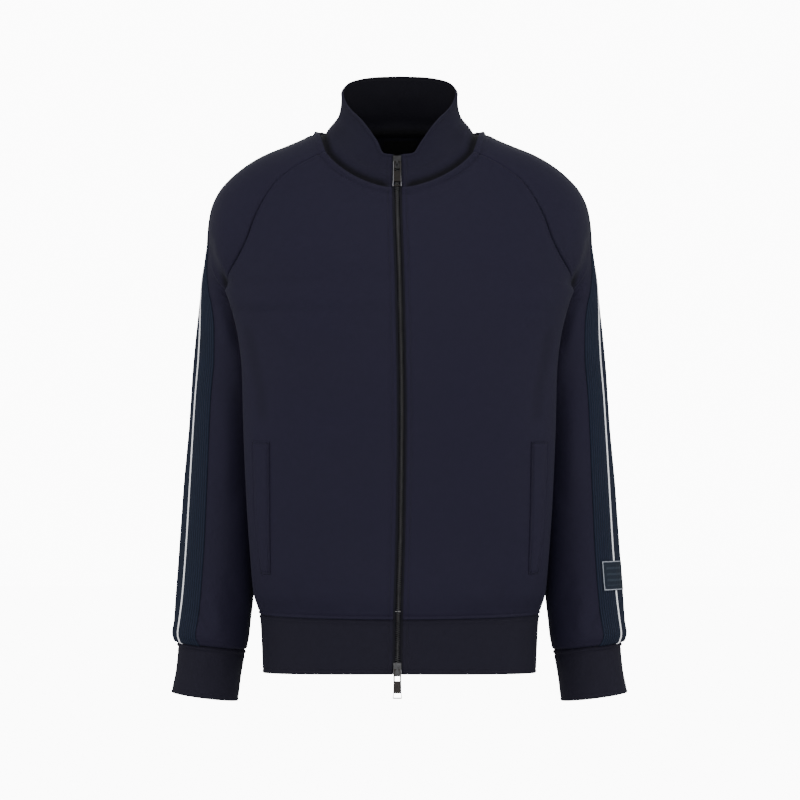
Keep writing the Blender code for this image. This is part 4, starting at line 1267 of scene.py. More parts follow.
class EdgeStyle(Enum):
    """How the cloth lies beside each kind of edge."""

    SEAM = (EdgeLine(0, 1.4, -0.85), EdgeLine(4.5, 2.6, 0.22))
    UNDER_COLLAR = (
        EdgeLine(0, 1.4, -0.8), EdgeLine(4.2, 2.2, 1.5), EdgeLine(9.2, 1.7, -1.3), EdgeLine(14, 3, 0.4),
    )
    OVER_NECK = (EdgeLine(0, 1.6, -0.7), EdgeLine(4.5, 4.2, -2.1), EdgeLine(18, 7.0, 1.4))
    HEM_TOP = (EdgeLine(0, 1.4, -1.5), EdgeLine(2.8, 1.5, 0.8))
    OVER_HEM = (
        EdgeLine(0, 1.4, -1.5), EdgeLine(2.7, 1.4, 0.9), EdgeLine(5.4, 1.2, -0.8), EdgeLine(8, 2.0, 0.3),
    )
    OVER_CUFF = (EdgeLine(0, 1.5, -1.5), EdgeLine(4, 2.6, 0.8))
    CUFF_TOP = (EdgeLine(0, 1.5, -1.5), EdgeLine(3, 1.6, 0.8), EdgeLine(6.2, 1.4, -0.9))
    ZIP_FOLD = (EdgeLine(0, 1.1, -0.6), EdgeLine(3, 2.0, 0.4), EdgeLine(6, 0.9, -0.6))
    FOLDED = (EdgeLine(0, 0.9, -0.8), EdgeLine(2.1, 1.1, 0.45), EdgeLine(4.8, 1.2, -0.4))
    WELT = (EdgeLine(0, 0.9, -2.1), EdgeLine(3.0, 1.0, -1.1))
    PLAIN = ()

    def relief(self, distance: np.ndarray) -> np.ndarray:
        """Work out the relief beside the edge.

        Args:
            distance: how far each point lies from it.

        Returns:
            The distances along the normals, positive outwards.
        """
        total = np.zeros_like(distance)
        for line in self.value:
            total += line.depth * np.exp(-(((distance - line.at) / line.width) ** 2))
        return total


@dataclass(frozen=True)
class SheetFacts:
    """How a piece of cloth is held, and by what."""

    held: str
    rests_on: tuple


@dataclass
class ClothPiece:
    """A sewn piece: a grid of outer points in millimetres, made into a thin closed shell."""

    name: str
    node: str
    grid: np.ndarray
    finish: Finishes
    facts: SheetFacts | None = None
    edges: tuple = (EdgeStyle.PLAIN,) * 4
    creases: tuple = ()
    thickness: float = 1.6
    extra: np.ndarray | None = None

    # Millimetres: half the gap at a seam, the deepest that edges go, and the relief at which the painted
    # shade in the hollows begins and is full.
    GAP = 0.15
    DEEPEST = -2.4
    SHADED_FROM = -0.9
    DARKEST = -4.0

    @cached_property
    def normals(self) -> np.ndarray:
        """The outward normals of the grid's points."""
        along = np.gradient(self.grid, axis=0)
        across = np.gradient(self.grid, axis=1)
        return unit(np.cross(across, along))

    @cached_property
    def distances(self) -> tuple[np.ndarray, np.ndarray]:
        """Each point's distance across its row from the first column, and along from the first row."""
        return lengths(self.grid, axis=1), lengths(self.grid, axis=0)

    @property
    def area(self) -> float:
        """The area of the cloth in square metres."""
        diagonals = self.grid[1:, 1:] - self.grid[:-1, :-1], self.grid[:-1, 1:] - self.grid[1:, :-1]
        return float(np.linalg.norm(np.cross(*diagonals), axis=-1).sum()) / 2 * MM * MM

    @cached_property
    def relief(self) -> np.ndarray:
        """The relief of the edges, of the creases and of the piece itself.

        Returns:
            How far each point is moved along its normal.
        """
        across, along = self.distances
        relief = np.zeros_like(across)
        froms = (along, along[-1] - along, across, across[:, -1:] - across)
        for style, distance in zip(self.edges, froms):
            relief += style.relief(distance)
        relief = np.maximum(relief, self.DEEPEST)
        for crease in self.creases:
            relief += crease.relief(self.grid, self.normals)
        if self.extra is not None:
            relief += self.extra
        return relief

    @cached_property
    def outer(self) -> np.ndarray:
        """The outer points with their relief.

        Returns:
            The points, drawn back by half a gap at all four edges.
        """
        points = self.grid + self.normals * self.relief[..., None]
        for axis in (0, 1):
            points = np.moveaxis(points, axis, 0)
            first = unit(points[1] - points[0]) * self.GAP
            last = unit(points[-2] - points[-1]) * self.GAP
            points[0] += first
            points[-1] += last
            points = np.moveaxis(points, 0, axis)
        return points

    def build(self) -> bpy.types.Object:
        """Make the shell's object with its own coordinates and material, and log its sizes.

        Returns:
            The object.
        """
        inner = self.outer - self.normals * self.thickness
        across, along = self.distances
        # Painted shade: points that lie deeper than the piece's middle relief are painted darker.
        depth = self.relief - np.median(self.relief)
        hollow = np.clip((depth - self.SHADED_FROM) / (self.DARKEST - self.SHADED_FROM), 0, 1)
        uv = across * MM, along * MM
        thing = shell_object(self.name, self.outer, inner, uv, hollow, self.finish)
        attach(thing, BODY)
        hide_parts(self.node)
        self.finish.slot
        if self.facts:
            flat = (round(float(across.max()) * MM, 3), round(float(along.max()) * MM, 3))
            whole_area = min(self.area, flat[0] * flat[1])
            rests_on = list(self.facts.rests_on)
            log.info("%s: cut %.3f by %.3f m, %.4f square metres", self.name, *flat, whole_area)
        log.info("%s: %d faces", self.name, len(thing.data.polygons))
        return thing


SHARP_ANGLE = math.radians(50)


def add_object(name: str, data: bpy.types.ID) -> bpy.types.Object:
    """Make an object and link it to the scene."""
    thing = bpy.data.objects.new(name, data)
    bpy.context.scene.collection.objects.link(thing)
    return thing


def shell_object(
    name: str, outer: np.ndarray, inner: np.ndarray, uv: tuple, hollow: np.ndarray, finish: Finishes
) -> bpy.types.Object:
    """Join two grids of points, in millimetres, into a closed shell.

    Args:
        name: the object's name.
        outer: the outer points.
        inner: the inner points, the same rows and columns.
        uv: the cloth's own coordinates in metres, across and along, for each point.
        hollow: how much painted shade each point gets, from 0 to 1, as it lies deeper in a hollow of the
            cloth.
        finish: its finish.

    Returns:
        The object, linked to the scene.
    """
    rows, columns = outer.shape[:2]
    count = rows * columns
    index = np.arange(count).reshape(rows, columns)
    cells = index[:-1, :-1], index[:-1, 1:], index[1:, 1:], index[1:, :-1]
    quads = np.stack(cells, axis=-1).reshape(-1, 4)
    rim = np.concatenate([index[0, :-1], index[:-1, -1], index[-1, :0:-1], index[:0:-1, 0]])
    following = np.roll(rim, -1)
    walls = np.stack([following, rim, rim + count, following + count], axis=-1)
    faces = np.concatenate([quads, quads[:, ::-1] + count, walls])
    points = np.concatenate([outer.reshape(-1, 3), inner.reshape(-1, 3)]) * MM
    mesh = bpy.data.meshes.new(name)
    mesh.from_pydata(points, [], faces.tolist())
    layer = mesh.uv_layers.new(name="cloth")
    places = np.stack([uv[0].ravel(), uv[1].ravel()], axis=-1)
    corners = np.array([loop.vertex_index for loop in mesh.loops]) % count
    layer.data.foreach_set("uv", places[corners].ravel())
    # The painted shade of the hollows, kept on the mesh for the knit's material.
    shade = mesh.attributes.new("hollow", "FLOAT", "POINT")
    shade.data.foreach_set("value", np.tile(hollow.ravel(), 2).astype("f"))
    mesh.materials.append(finish.material)
    # Their inner faces take the painted shade of the inside.
    if finish in (Finishes.JERSEY, Finishes.COLLAR, Finishes.RIB_KNIT):
        mesh.materials.append(Finishes.INSIDE.material)
        slots = np.repeat([0, 1, 0], [len(quads), len(quads), len(walls)]).astype("i")
        mesh.polygons.foreach_set("material_index", slots)
    mesh.shade_smooth()
    mesh.set_sharp_from_angle(angle=SHARP_ANGLE)
    return add_object(name, mesh)


# ---- The garment's sub-assemblies ----


class Side(Enum):
    """The wearer's two sides."""

    LEFT = 1
    RIGHT = -1

    @property
    def word(self) -> str:
        """The side's name in the names of pieces."""
        return self.name.lower()

    def place(self, grid: np.ndarray) -> np.ndarray:
        """Put a grid that was made at +X on this side."""
        return grid if self is Side.LEFT else mirrored(grid)

    def edges(self, first: EdgeStyle, last: EdgeStyle, inner: EdgeStyle, outer: EdgeStyle) -> tuple:
        """Order the styles of the first and last rows and of the columns, the inner one first at +X."""
        return (first, last, inner, outer) if self is Side.LEFT else (first, last, outer, inner)


def creases(view: View, *rows: tuple) -> tuple:
    """Make creases seen from one side, from their paths, depths, widths and, if not the usual, fades."""
    return tuple(Crease(view, *row) for row in rows)


# Soft folds of the hanging cloth. Each is drawn at +X and repeated at -X.
FRONT_FOLDS = creases(
    View.FRONT,
    (((205, -225), (190, -262), (176, -330), (170, -400)), -1.6, 13),
    (((196, -205), (176, -232), (150, -262), (118, -285)), 1.3, 12),
    (((188, -228), (160, -262), (128, -292)), -1.0, 9),
    (((120, -330), (104, -420), (96, -520)), 1.0, 26),
    (((70, -380), (62, -470), (64, -560)), -0.9, 22),
    (((140, -560), (128, -590), (122, -616)), -1.2, 9, 0.4),
    (((60, -575), (56, -600), (55, -618)), -0.9, 8, 0.4),
    (((100, -570), (97, -595), (95, -617)), 0.9, 8, 0.4),
    (((150, -110), (176, -150), (188, -190)), -1.0, 12),
    (((222, -190), (214, -200), (200, -212)), -0.8, 4),
    (((14, -84), (34, -84), (62, -74), (84, -56)), 0.8, 5),
    (((12, -94), (36, -96), (66, -88)), -1.0, 4),
)
BACK_FOLDS = creases(
    View.BACK,
    (((168, -200), (150, -262), (136, -330), (130, -400)), -2.4, 15),
    (((150, -190), (120, -250), (100, -330)), 1.8, 16),
    (((60, -60), (72, -120), (70, -200)), -1.4, 18),
    (((40, -420), (34, -500), (36, -590)), 1.6, 20),
    (((96, -400), (92, -480), (90, -580)), -2.0, 16),
    (((136, -420), (130, -500), (126, -600)), 1.7, 14),
    (((0, -300), (-6, -380), (2, -460)), -1.3, 24),
    (((110, -560), (106, -590), (104, -616)), -1.3, 8, 0.4),
    (((50, -565), (52, -592), (50, -617)), -1.2, 8, 0.4),
    (((0, -565), (2, -592), (1, -617)), -1.0, 9, 0.4),
)
SLEEVE_FOLDS = creases(
    View.FRONT,
    (((244, -132), (238, -156), (227, -186), (218, -206)), -3.0, 4.5, 0.15),
    (((238, -132), (230, -154), (218, -182)), 0.6, 5),
    (((240, -140), (235, -196), (224, -244), (213, -284)), 2.6, 9),
    (((230, -172), (222, -212), (211, -250), (202, -290)), -2.2, 8),
    (((213, -290), (205, -360), (203, -430), (208, -500)), -1.6, 10),
    (((226, -330), (221, -400), (222, -470)), 1.4, 12),
    (((222, -560), (212, -590), (206, -612)), -1.1, 8),
    (((240, -585), (232, -612), (226, -640)), 1.6, 8),
    (((262, -600), (250, -622), (240, -642)), -1.3, 7),
) + creases(
    View.BACK,
    (((240, -150), (226, -230), (210, -300)), -2.6, 12),
    (((248, -260), (234, -300), (214, -330)), 2.0, 11),
    (((236, -400), (222, -440), (206, -462)), -2.6, 10),
    (((252, -430), (238, -470), (216, -500)), 2.2, 11),
    (((250, -500), (236, -535), (214, -556)), -2.0, 10),
    (((262, -590), (246, -618), (226, -640)), -1.8, 8),
) + creases(
    View.LEFT,
    (((40, -300), (30, -380), (38, -460)), -1.6, 12),
    (((30, -590), (14, -612), (6, -640)), -1.4, 8),
)
CUFF_FOLDS = creases(
    View.FRONT,
    (((236, -662), (238, -690), (240, -716)), -1.0, 8, 0.35),
    (((262, -664), (262, -690), (264, -712)), 0.8, 9, 0.35),
) + creases(
    View.BACK,
    (((240, -664), (246, -700)), -1.0, 8, 0.35),
)
HEM_FOLDS = creases(
    View.FRONT,
    (((122, -622), (121, -650), (120, -690)), -0.9, 8, 0.4),
    (((55, -622), (54, -650), (54, -690)), -0.7, 8, 0.4),
) + creases(
    View.BACK,
    (((104, -620), (103, -650), (102, -690)), -1.0, 8, 0.4),
    (((50, -620), (50, -650), (49, -690)), -1.0, 8, 0.4),
    (((0, -620), (0, -650), (0, -690)), -0.8, 9, 0.4),
)
COLLAR_FOLDS = creases(
    View.FRONT,
    (((88, -24), (70, -6), (58, 22)), -1.0, 9),
    (((66, -44), (48, -22), (40, -4)), 0.8, 9),
    (((12, -46), (28, -45), (48, -38), (60, -30)), -1.2, 4),
    (((14, -55), (34, -53), (60, -42)), 0.8, 4),
) + creases(
    View.BACK,
    (((30, 10), (26, 34), (24, 62)), -0.9, 12),
)


def flipped(drawn: tuple) -> tuple:
    """Mirror creases to -X.

    Args:
        drawn: the creases, drawn at +X.

    Returns:
        The mirrored ones.
    """
    across = {View.FRONT: View.FRONT, View.BACK: View.BACK, View.LEFT: View.RIGHT, View.RIGHT: View.LEFT}
    made = []
    for crease in drawn:
        sign = -1 if crease.view in (View.FRONT, View.BACK) else 1
        path = tuple((sign * a, b) for a, b in crease.path)
        made.append(Crease(across[crease.view], path, crease.depth, crease.width, crease.fade))
    return tuple(made)


def on_side(side: Side, drawn: tuple) -> tuple:
    """Give the creases of one side."""
    return drawn if side is Side.LEFT else flipped(drawn)


def both_sides(drawn: tuple) -> tuple:
    """Give the creases of both sides, and once those that start in the middle."""
    return drawn + flipped(tuple(crease for crease in drawn if crease.path[0][0] != 0))


def rows_by_length(line_at: Callable, last: float, spacing: float) -> np.ndarray:
    """Choose row numbers so that rows lie evenly along a piece, and closer at its sewn ends.

    Args:
        line_at: gives a few points of the row at a number.
        last: the number of the last row.
        spacing: the widest step in millimetres.

    Returns:
        The row numbers.
    """
    numbers = np.linspace(0, last, 121)
    lines = np.array([line_at(number) for number in numbers])
    steps = np.linalg.norm(np.diff(lines, axis=0), axis=2).mean(axis=1)
    distances = np.concatenate([[0.0], np.cumsum(steps)])
    return np.interp(graded(distances[-1], spacing, True, True) * distances[-1], distances, numbers)


@dataclass
class SubAssembly:
    """Pieces of cloth that are cut from the garment's form."""

    form: GarmentForm

    def cloths(self) -> list[ClothPiece]:
        """Make the pieces, in the order in which they are built."""
        raise NotImplementedError

    def build(self) -> dict[str, ClothPiece]:
        """Build the pieces.

        Returns:
            The pieces by node.
        """
        pieces = self.cloths()
        for piece in pieces:
            piece.build()
        return {piece.node: piece for piece in pieces}


@dataclass
class TorsoPanels(SubAssembly):
    """The two fronts and the back."""

    row_step: float = 5.0
    column_step: float = 4.2
    front_width: float = 235.0
    back_width: float = 225.0

    def rows(self, part: str) -> np.ndarray:
        """Choose the rows of the fronts or of the back."""
        panels = self.form.panels
        few = np.linspace(0, 1, 5)
        return rows_by_length(lambda row: panels.row(part, row, few), panels.last_row, self.row_step)

    def front(self, side: Side) -> ClothPiece:
        """Make one front, from the zip to the side and raglan seams.

        Args:
            side: the wearer's side.

        Returns:
            The piece.
        """
        panels, rows = self.form.panels, self.rows("front")
        across = graded(self.front_width, self.column_step, True, True)
        grid = side.place(np.array([panels.row("front", row, across, side.value) for row in rows]))
        edges = side.edges(EdgeStyle.OVER_HEM, EdgeStyle.UNDER_COLLAR, EdgeStyle.ZIP_FOLD, EdgeStyle.SEAM)
        facts = SheetFacts("hung", (f"sleeve_{side.word}", "collar"))
        name = f"front_{side.word}"
        folds = on_side(side, FRONT_FOLDS)
        return ClothPiece(name + "_cloth", name, grid, Finishes.JERSEY, facts, edges, folds)

    def back(self) -> ClothPiece:
        """Make the back in one piece.

        Returns:
            The piece.
        """
        panels, rows = self.form.panels, self.rows("back")
        across = graded(self.back_width, self.column_step, False, True)
        half = np.array([panels.row("back", row, across) for row in rows])[:, ::-1]
        edges = (EdgeStyle.OVER_HEM, EdgeStyle.SEAM, EdgeStyle.SEAM, EdgeStyle.SEAM)
        facts = SheetFacts("hung", ("sleeve_left", "sleeve_right", "collar"))
        grid = whole(half, half)
        return ClothPiece("back_cloth", "back", grid, Finishes.JERSEY, facts, edges, both_sides(BACK_FOLDS))

    def cloths(self) -> list[ClothPiece]:
        """Make the three panels."""
        return [self.front(Side.LEFT), self.front(Side.RIGHT), self.back()]


@dataclass
class Sleeve(SubAssembly):
    """One raglan sleeve with its cuff, ribbed band, piping and, on the left, its patch."""

    side: Side
    row_step: float = 5.0
    column_step: float = 4.2
    half_girth: float = 150.0
    columns_under_band: int = 13
    cuff_height: float = 66.0
    cuff_row_step: float = 4.0
    cuff_thickness: float = 2.0
    rib_count: int = 18
    rib_height: float = 0.8
    rib_fullness: float = 0.7
    columns_a_rib: int = 6
    band_lift: float = 1.25
    band_thickness: float = 0.9
    edge_drop: float = 0.7
    edge_width: float = 1.5
    band_start: float = 2.2
    first_step: float = 1.1
    piping_width: float = 2.1
    piping_height: float = 1.0
    piping_columns: int = 9
    piping_thickness: float = 0.45
    piping_seat: float = 0.6
    piping_clear: float = 0.25
    patch_half_width: float = 21.5
    patch_levels: tuple = (-548.5, -586.5)
    patch_rows: int = 21
    patch_columns: int = 31
    patch_lift: float = 1.15
    patch_thickness: float = 0.8
    patch_rise: float = 0.75
    patch_rise_width: float = 3.4

    @cached_property
    def rows(self) -> np.ndarray:
        """The row numbers of the sleeve's grid."""
        offsets = np.array([-BAND_HALF_WIDTH, 0.0, BAND_HALF_WIDTH])
        form = self.form.sleeve
        return rows_by_length(lambda row: form.band_grid([row], offsets)[0], SLEEVE_ROWS, self.row_step)

    @property
    def folds(self) -> tuple:
        """The sleeve's creases on this side."""
        return on_side(self.side, SLEEVE_FOLDS)

    def tube(self) -> ClothPiece:
        """Make the sleeve itself, open at the top and closed along its inner seam.

        Returns:
            The piece.
        """
        before = graded(self.half_girth, self.column_step, True, False)
        under_band = np.linspace(0, 1, self.columns_under_band)
        grid = self.side.place(self.form.sleeve.grid(self.rows, before, under_band, 1 - before[::-1]))
        edges = (EdgeStyle.UNDER_COLLAR, EdgeStyle.OVER_CUFF, EdgeStyle.SEAM, EdgeStyle.SEAM)
        facts = SheetFacts("hung", (f"front_{self.side.word}", "back"))
        name = f"sleeve_{self.side.word}"
        return ClothPiece(name + "_cloth", name, grid, Finishes.JERSEY, facts, edges, self.folds)

    def cuff(self) -> ClothPiece:
        """Make the ribbed cuff, turned up at its edge.

        Returns:
            The piece.
        """
        shares = graded(self.half_girth * 2, self.column_step, True, True)
        heights = graded(self.cuff_height, self.cuff_row_step, True, True)
        grid = self.side.place(self.form.cuff(shares, heights))
        edges = (EdgeStyle.CUFF_TOP, EdgeStyle.FOLDED, EdgeStyle.SEAM, EdgeStyle.SEAM)
        facts = SheetFacts("hung", (f"sleeve_{self.side.word}",))
        name = f"cuff_{self.side.word}"
        folds = on_side(self.side, CUFF_FOLDS)
        return ClothPiece(
            name + "_knit", name, grid, Finishes.RIB_KNIT, facts, edges, folds, self.cuff_thickness
        )

    def seam_relief(self, grid: np.ndarray, start: float, end: float) -> np.ndarray:
        """Work out the sleeve's own relief, by its two end seams, under what lies on it.

        Args:
            grid: the points of what lies on it.
            start: how far that starts from the collar's seam.
            end: how far it ends from the cuff's.

        Returns:
            The relief at the points.
        """
        along = lengths(grid)
        relief = EdgeStyle.UNDER_COLLAR.relief(along + start)
        return relief + EdgeStyle.OVER_CUFF.relief(along[-1] - along + end)

    @cached_property
    def trim_rows(self) -> np.ndarray:
        """The rows of what runs down the sleeve: they start just clear of the collar."""
        start = self.band_start * (self.rows[1] / BESIDE_SEAM[1])
        return np.concatenate([[start], self.rows[self.rows > self.first_step * start]])

    def band(self) -> ClothPiece:
        """Make the band with its lengthwise ribs.

        Returns:
            The piece.
        """
        count = self.rib_count * self.columns_a_rib
        offsets = np.linspace(-BAND_HALF_WIDTH, BAND_HALF_WIDTH, count + 1)
        grid = self.form.sleeve.band_grid(self.trim_rows, offsets)
        turn = 2 * math.pi * self.rib_count * (offsets + BAND_HALF_WIDTH) / (2 * BAND_HALF_WIDTH)
        ribs = self.rib_height * (0.5 - 0.5 * np.cos(turn)) ** self.rib_fullness
        drawn_in = self.edge_drop * np.exp(-(((BAND_HALF_WIDTH - np.abs(offsets)) / self.edge_width) ** 2))
        extra = self.seam_relief(grid, self.band_start, 0.0) + self.band_lift + ribs - drawn_in
        name = f"sleeve_band_{self.side.word}"
        facts = SheetFacts("laid", (f"sleeve_{self.side.word}",))
        if self.side is Side.RIGHT:
            extra = extra[:, ::-1]
        return ClothPiece(
            name + "_knit", name, self.side.place(grid), Finishes.SIDE_BAND, facts, creases=self.folds,
            thickness=self.band_thickness, extra=extra,
        )

    def piping(self) -> ClothPiece:
        """Make the white piping down the middle of the band.

        Returns:
            The piece.
        """
        offsets = np.linspace(-1, 1, self.piping_columns) * self.piping_width / 2
        grid = self.form.sleeve.band_grid(self.trim_rows, offsets)
        crown = np.sqrt(np.maximum(1 - (offsets / (self.piping_width / 2)) ** 2, 0.0))
        top = self.band_lift + self.rib_height * self.piping_seat
        under = self.seam_relief(grid, self.band_start, 0.0) + top + self.piping_clear
        name = f"piping_{self.side.word}"
        return ClothPiece(
            name + "_cord", name, self.side.place(grid), Finishes.PIPING, creases=self.folds,
            thickness=self.piping_thickness, extra=under + self.piping_height * crown,
        )

    def patch(self) -> ClothPiece:
        """Make the woven patch, which lies over the band and the piping.

        Returns:
            The piece.
        """
        ends = [self.form.sleeve.row_at_z(z) for z in self.patch_levels]
        rows = np.linspace(ends[0], ends[1], self.patch_rows)
        offsets = np.linspace(-self.patch_half_width, self.patch_half_width, self.patch_columns)
        grid = self.form.sleeve.band_grid(rows, offsets)
        over_piping = self.patch_rise * np.exp(-((offsets / self.patch_rise_width) ** 2))
        under = np.zeros(grid.shape[:2]) + self.band_lift + self.rib_height + self.patch_lift
        facts = SheetFacts("laid", ("sleeve_band_left", "piping_left"))
        return ClothPiece(
            "sleeve_patch_woven", "sleeve_patch", grid, Finishes.PATCH, facts, creases=self.folds,
            thickness=self.patch_thickness, extra=under + over_piping,
        )

    def cloths(self) -> list[ClothPiece]:
        """Make the sleeve's pieces, of which only the left one has the patch."""
        patches = [self.patch()] if self.side is Side.LEFT else []
        return [self.tube(), self.cuff(), self.band(), self.piping(), *patches]


@dataclass
class Collar(SubAssembly):
    """The stand collar and the bare label under it."""

    half_seam: float = 100.0
    column_step: float = 3.6
    shoulder_columns: int = 20
    height: float = 62.0
    row_step: float = 2.6
    thickness: float = 2.2
    trough: EdgeLine = EdgeLine(4.5, 8.5, -3.7)
    trough_clear: float = 5.0
    trough_fade: float = 9.0
    label_x: tuple = (-20.0, 24.0)
    label_z: tuple = (-33.0, -7.0)
    label_depth: float = 3.9
    label_thickness: float = 0.6
    label_rows: int = 13
    label_columns: int = 21

    def trough_relief(self, grid: np.ndarray) -> np.ndarray:
        """Work out the deep trough above the neck seam, which fades before it reaches the zip's tapes.

        Args:
            grid: the collar's points.

        Returns:
            How far each point is moved along its normal.
        """
        across, up = lengths(grid, axis=1), lengths(grid, axis=0)
        from_zip = np.minimum(across, across[:, -1:] - across)
        fade = np.clip((from_zip - self.trough_clear) / self.trough_fade, 0, 1)
        return self.trough.depth * np.exp(-(((up - self.trough.at) / self.trough.width) ** 2)) * fade

    def stand(self) -> ClothPiece:
        """Make the collar from one zip edge round to the other.

        Returns:
            The piece.
        """
        across = graded(self.half_seam, self.column_step, True, False)
        shoulder = np.linspace(0, 1, self.shoulder_columns)
        heights = graded(self.height, self.row_step, True, True)
        grid = whole(*(self.form.half_collar(side.value, across, shoulder, heights) for side in Side))
        edges = (EdgeStyle.OVER_NECK, EdgeStyle.FOLDED, EdgeStyle.ZIP_FOLD, EdgeStyle.ZIP_FOLD)
        facts = SheetFacts("hung", ("front_left", "front_right", "back"))
        return ClothPiece(
            "collar_cloth", "collar", grid, Finishes.COLLAR, facts, edges, both_sides(COLLAR_FOLDS),
            self.thickness, self.trough_relief(grid),
        )

    def label(self) -> ClothPiece:
        """Make the bare black label inside the back of the neck.

        Returns:
            The piece.
        """
        torso = self.form.torso
        rows = []
        for z in np.linspace(*self.label_z, self.label_rows):
            line = []
            for x in np.linspace(*self.label_x, self.label_columns):
                point = torso.points(z, torso.share_at_x(z, abs(x), back=True), back=True)
                line.append((math.copysign(point[0], x), point[1] - self.label_depth, z))
            rows.append(line)
        facts = SheetFacts("laid", ("back",))
        return ClothPiece(
            "neck_label_woven", "neck_label", np.array(rows), Finishes.LABEL, facts,
            thickness=self.label_thickness,
        )

    def cloths(self) -> list[ClothPiece]:
        """Make the collar and the label."""
        return [self.stand(), self.label()]


@dataclass
class HemBand(SubAssembly):
    """The ribbed band round the hem, folded at its lower edge."""

    quarter_girth: float = 235.0
    column_step: float = 4.6
    height: float = 74.0
    row_step: float = 5.0
    thickness: float = 2.0

    def cloths(self) -> list[ClothPiece]:
        """Make the band, from one zip edge round to the other.

        Returns:
            The one piece.
        """
        across = graded(self.quarter_girth, self.column_step, True, True)
        heights = graded(self.height, self.row_step, True, True)
        grid = whole(*(self.form.half_hem(side.value, across, heights) for side in Side))
        edges = (EdgeStyle.FOLDED, EdgeStyle.HEM_TOP, EdgeStyle.ZIP_FOLD, EdgeStyle.ZIP_FOLD)
        facts = SheetFacts("hung", ("front_left", "front_right", "back"))
        return [ClothPiece(
            "hem_band_knit", "hem_band", grid, Finishes.RIB_KNIT, facts, edges, both_sides(HEM_FOLDS),
            self.thickness,
        )]


POCKET_BOTTOM_Z = -561.5
POCKET_TOP_Z = -394.0
POCKET = Profile(
    ("z", "inner", "outer"),
    ((POCKET_BOTTOM_Z, 162.1, 175.7), (-473, 163.2, 184.2), (POCKET_TOP_Z, 163.8, 186.5)),
)


@dataclass
class PocketWelts(SubAssembly):
    """The welts that close the two side pockets."""

    row_step: float = 4.0
    width: float = 18.0
    column_step: float = 0.9
    lift: float = 2.2
    thickness: float = 1.5

    def welt(self, side: Side) -> ClothPiece:
        """Make one welt, stitched down on the front beside its opening.

        Args:
            side: the wearer's side.

        Returns:
            The piece.
        """
        torso, panels = self.form.torso, self.form.panels
        heights = graded(POCKET_TOP_Z - POCKET_BOTTOM_Z, self.row_step, True, True)
        widths = graded(self.width, self.column_step, False, False)
        rows = []
        for edge_z in POCKET_BOTTOM_Z + (POCKET_TOP_Z - POCKET_BOTTOM_Z) * heights:
            up = (edge_z - HEM_SEAM_SIDE_Z) / (UNDERARM_Z - HEM_SEAM_SIDE_Z)
            middle_z = HEM_SEAM_MIDDLE_Z + (UNDERARM_Z - HEM_SEAM_MIDDLE_Z) * up
            start = torso.share_at_x(edge_z, ZIP_EDGE)
            ends = [float(POCKET(end, edge_z)) for end in ("inner", "outer")]
            inner, outer = (torso.share_at_x(edge_z, end) for end in ends)
            across = (inner + (outer - inner) * widths - start) / (1 - start)
            rows.append(panels.row_between("front", middle_z, edge_z, 1.0, across, side.value))
        grid = side.place(np.array(rows))
        name = f"pocket_welt_{side.word}"
        facts = SheetFacts("laid", (f"front_{side.word}",))
        edges = (EdgeStyle.WELT,) * 4
        return ClothPiece(
            name + "_cloth", name, grid, Finishes.JERSEY, facts, edges, on_side(side, FRONT_FOLDS),
            self.thickness, np.full(grid.shape[:2], self.lift),
        )

    def cloths(self) -> list[ClothPiece]:
        """Make both welts."""
        return [self.welt(side) for side in Side]


class RowShape(Enum):
    """What a row of small repeated pieces is made of."""

    STITCH = "stitch"
    TOOTH = "tooth"


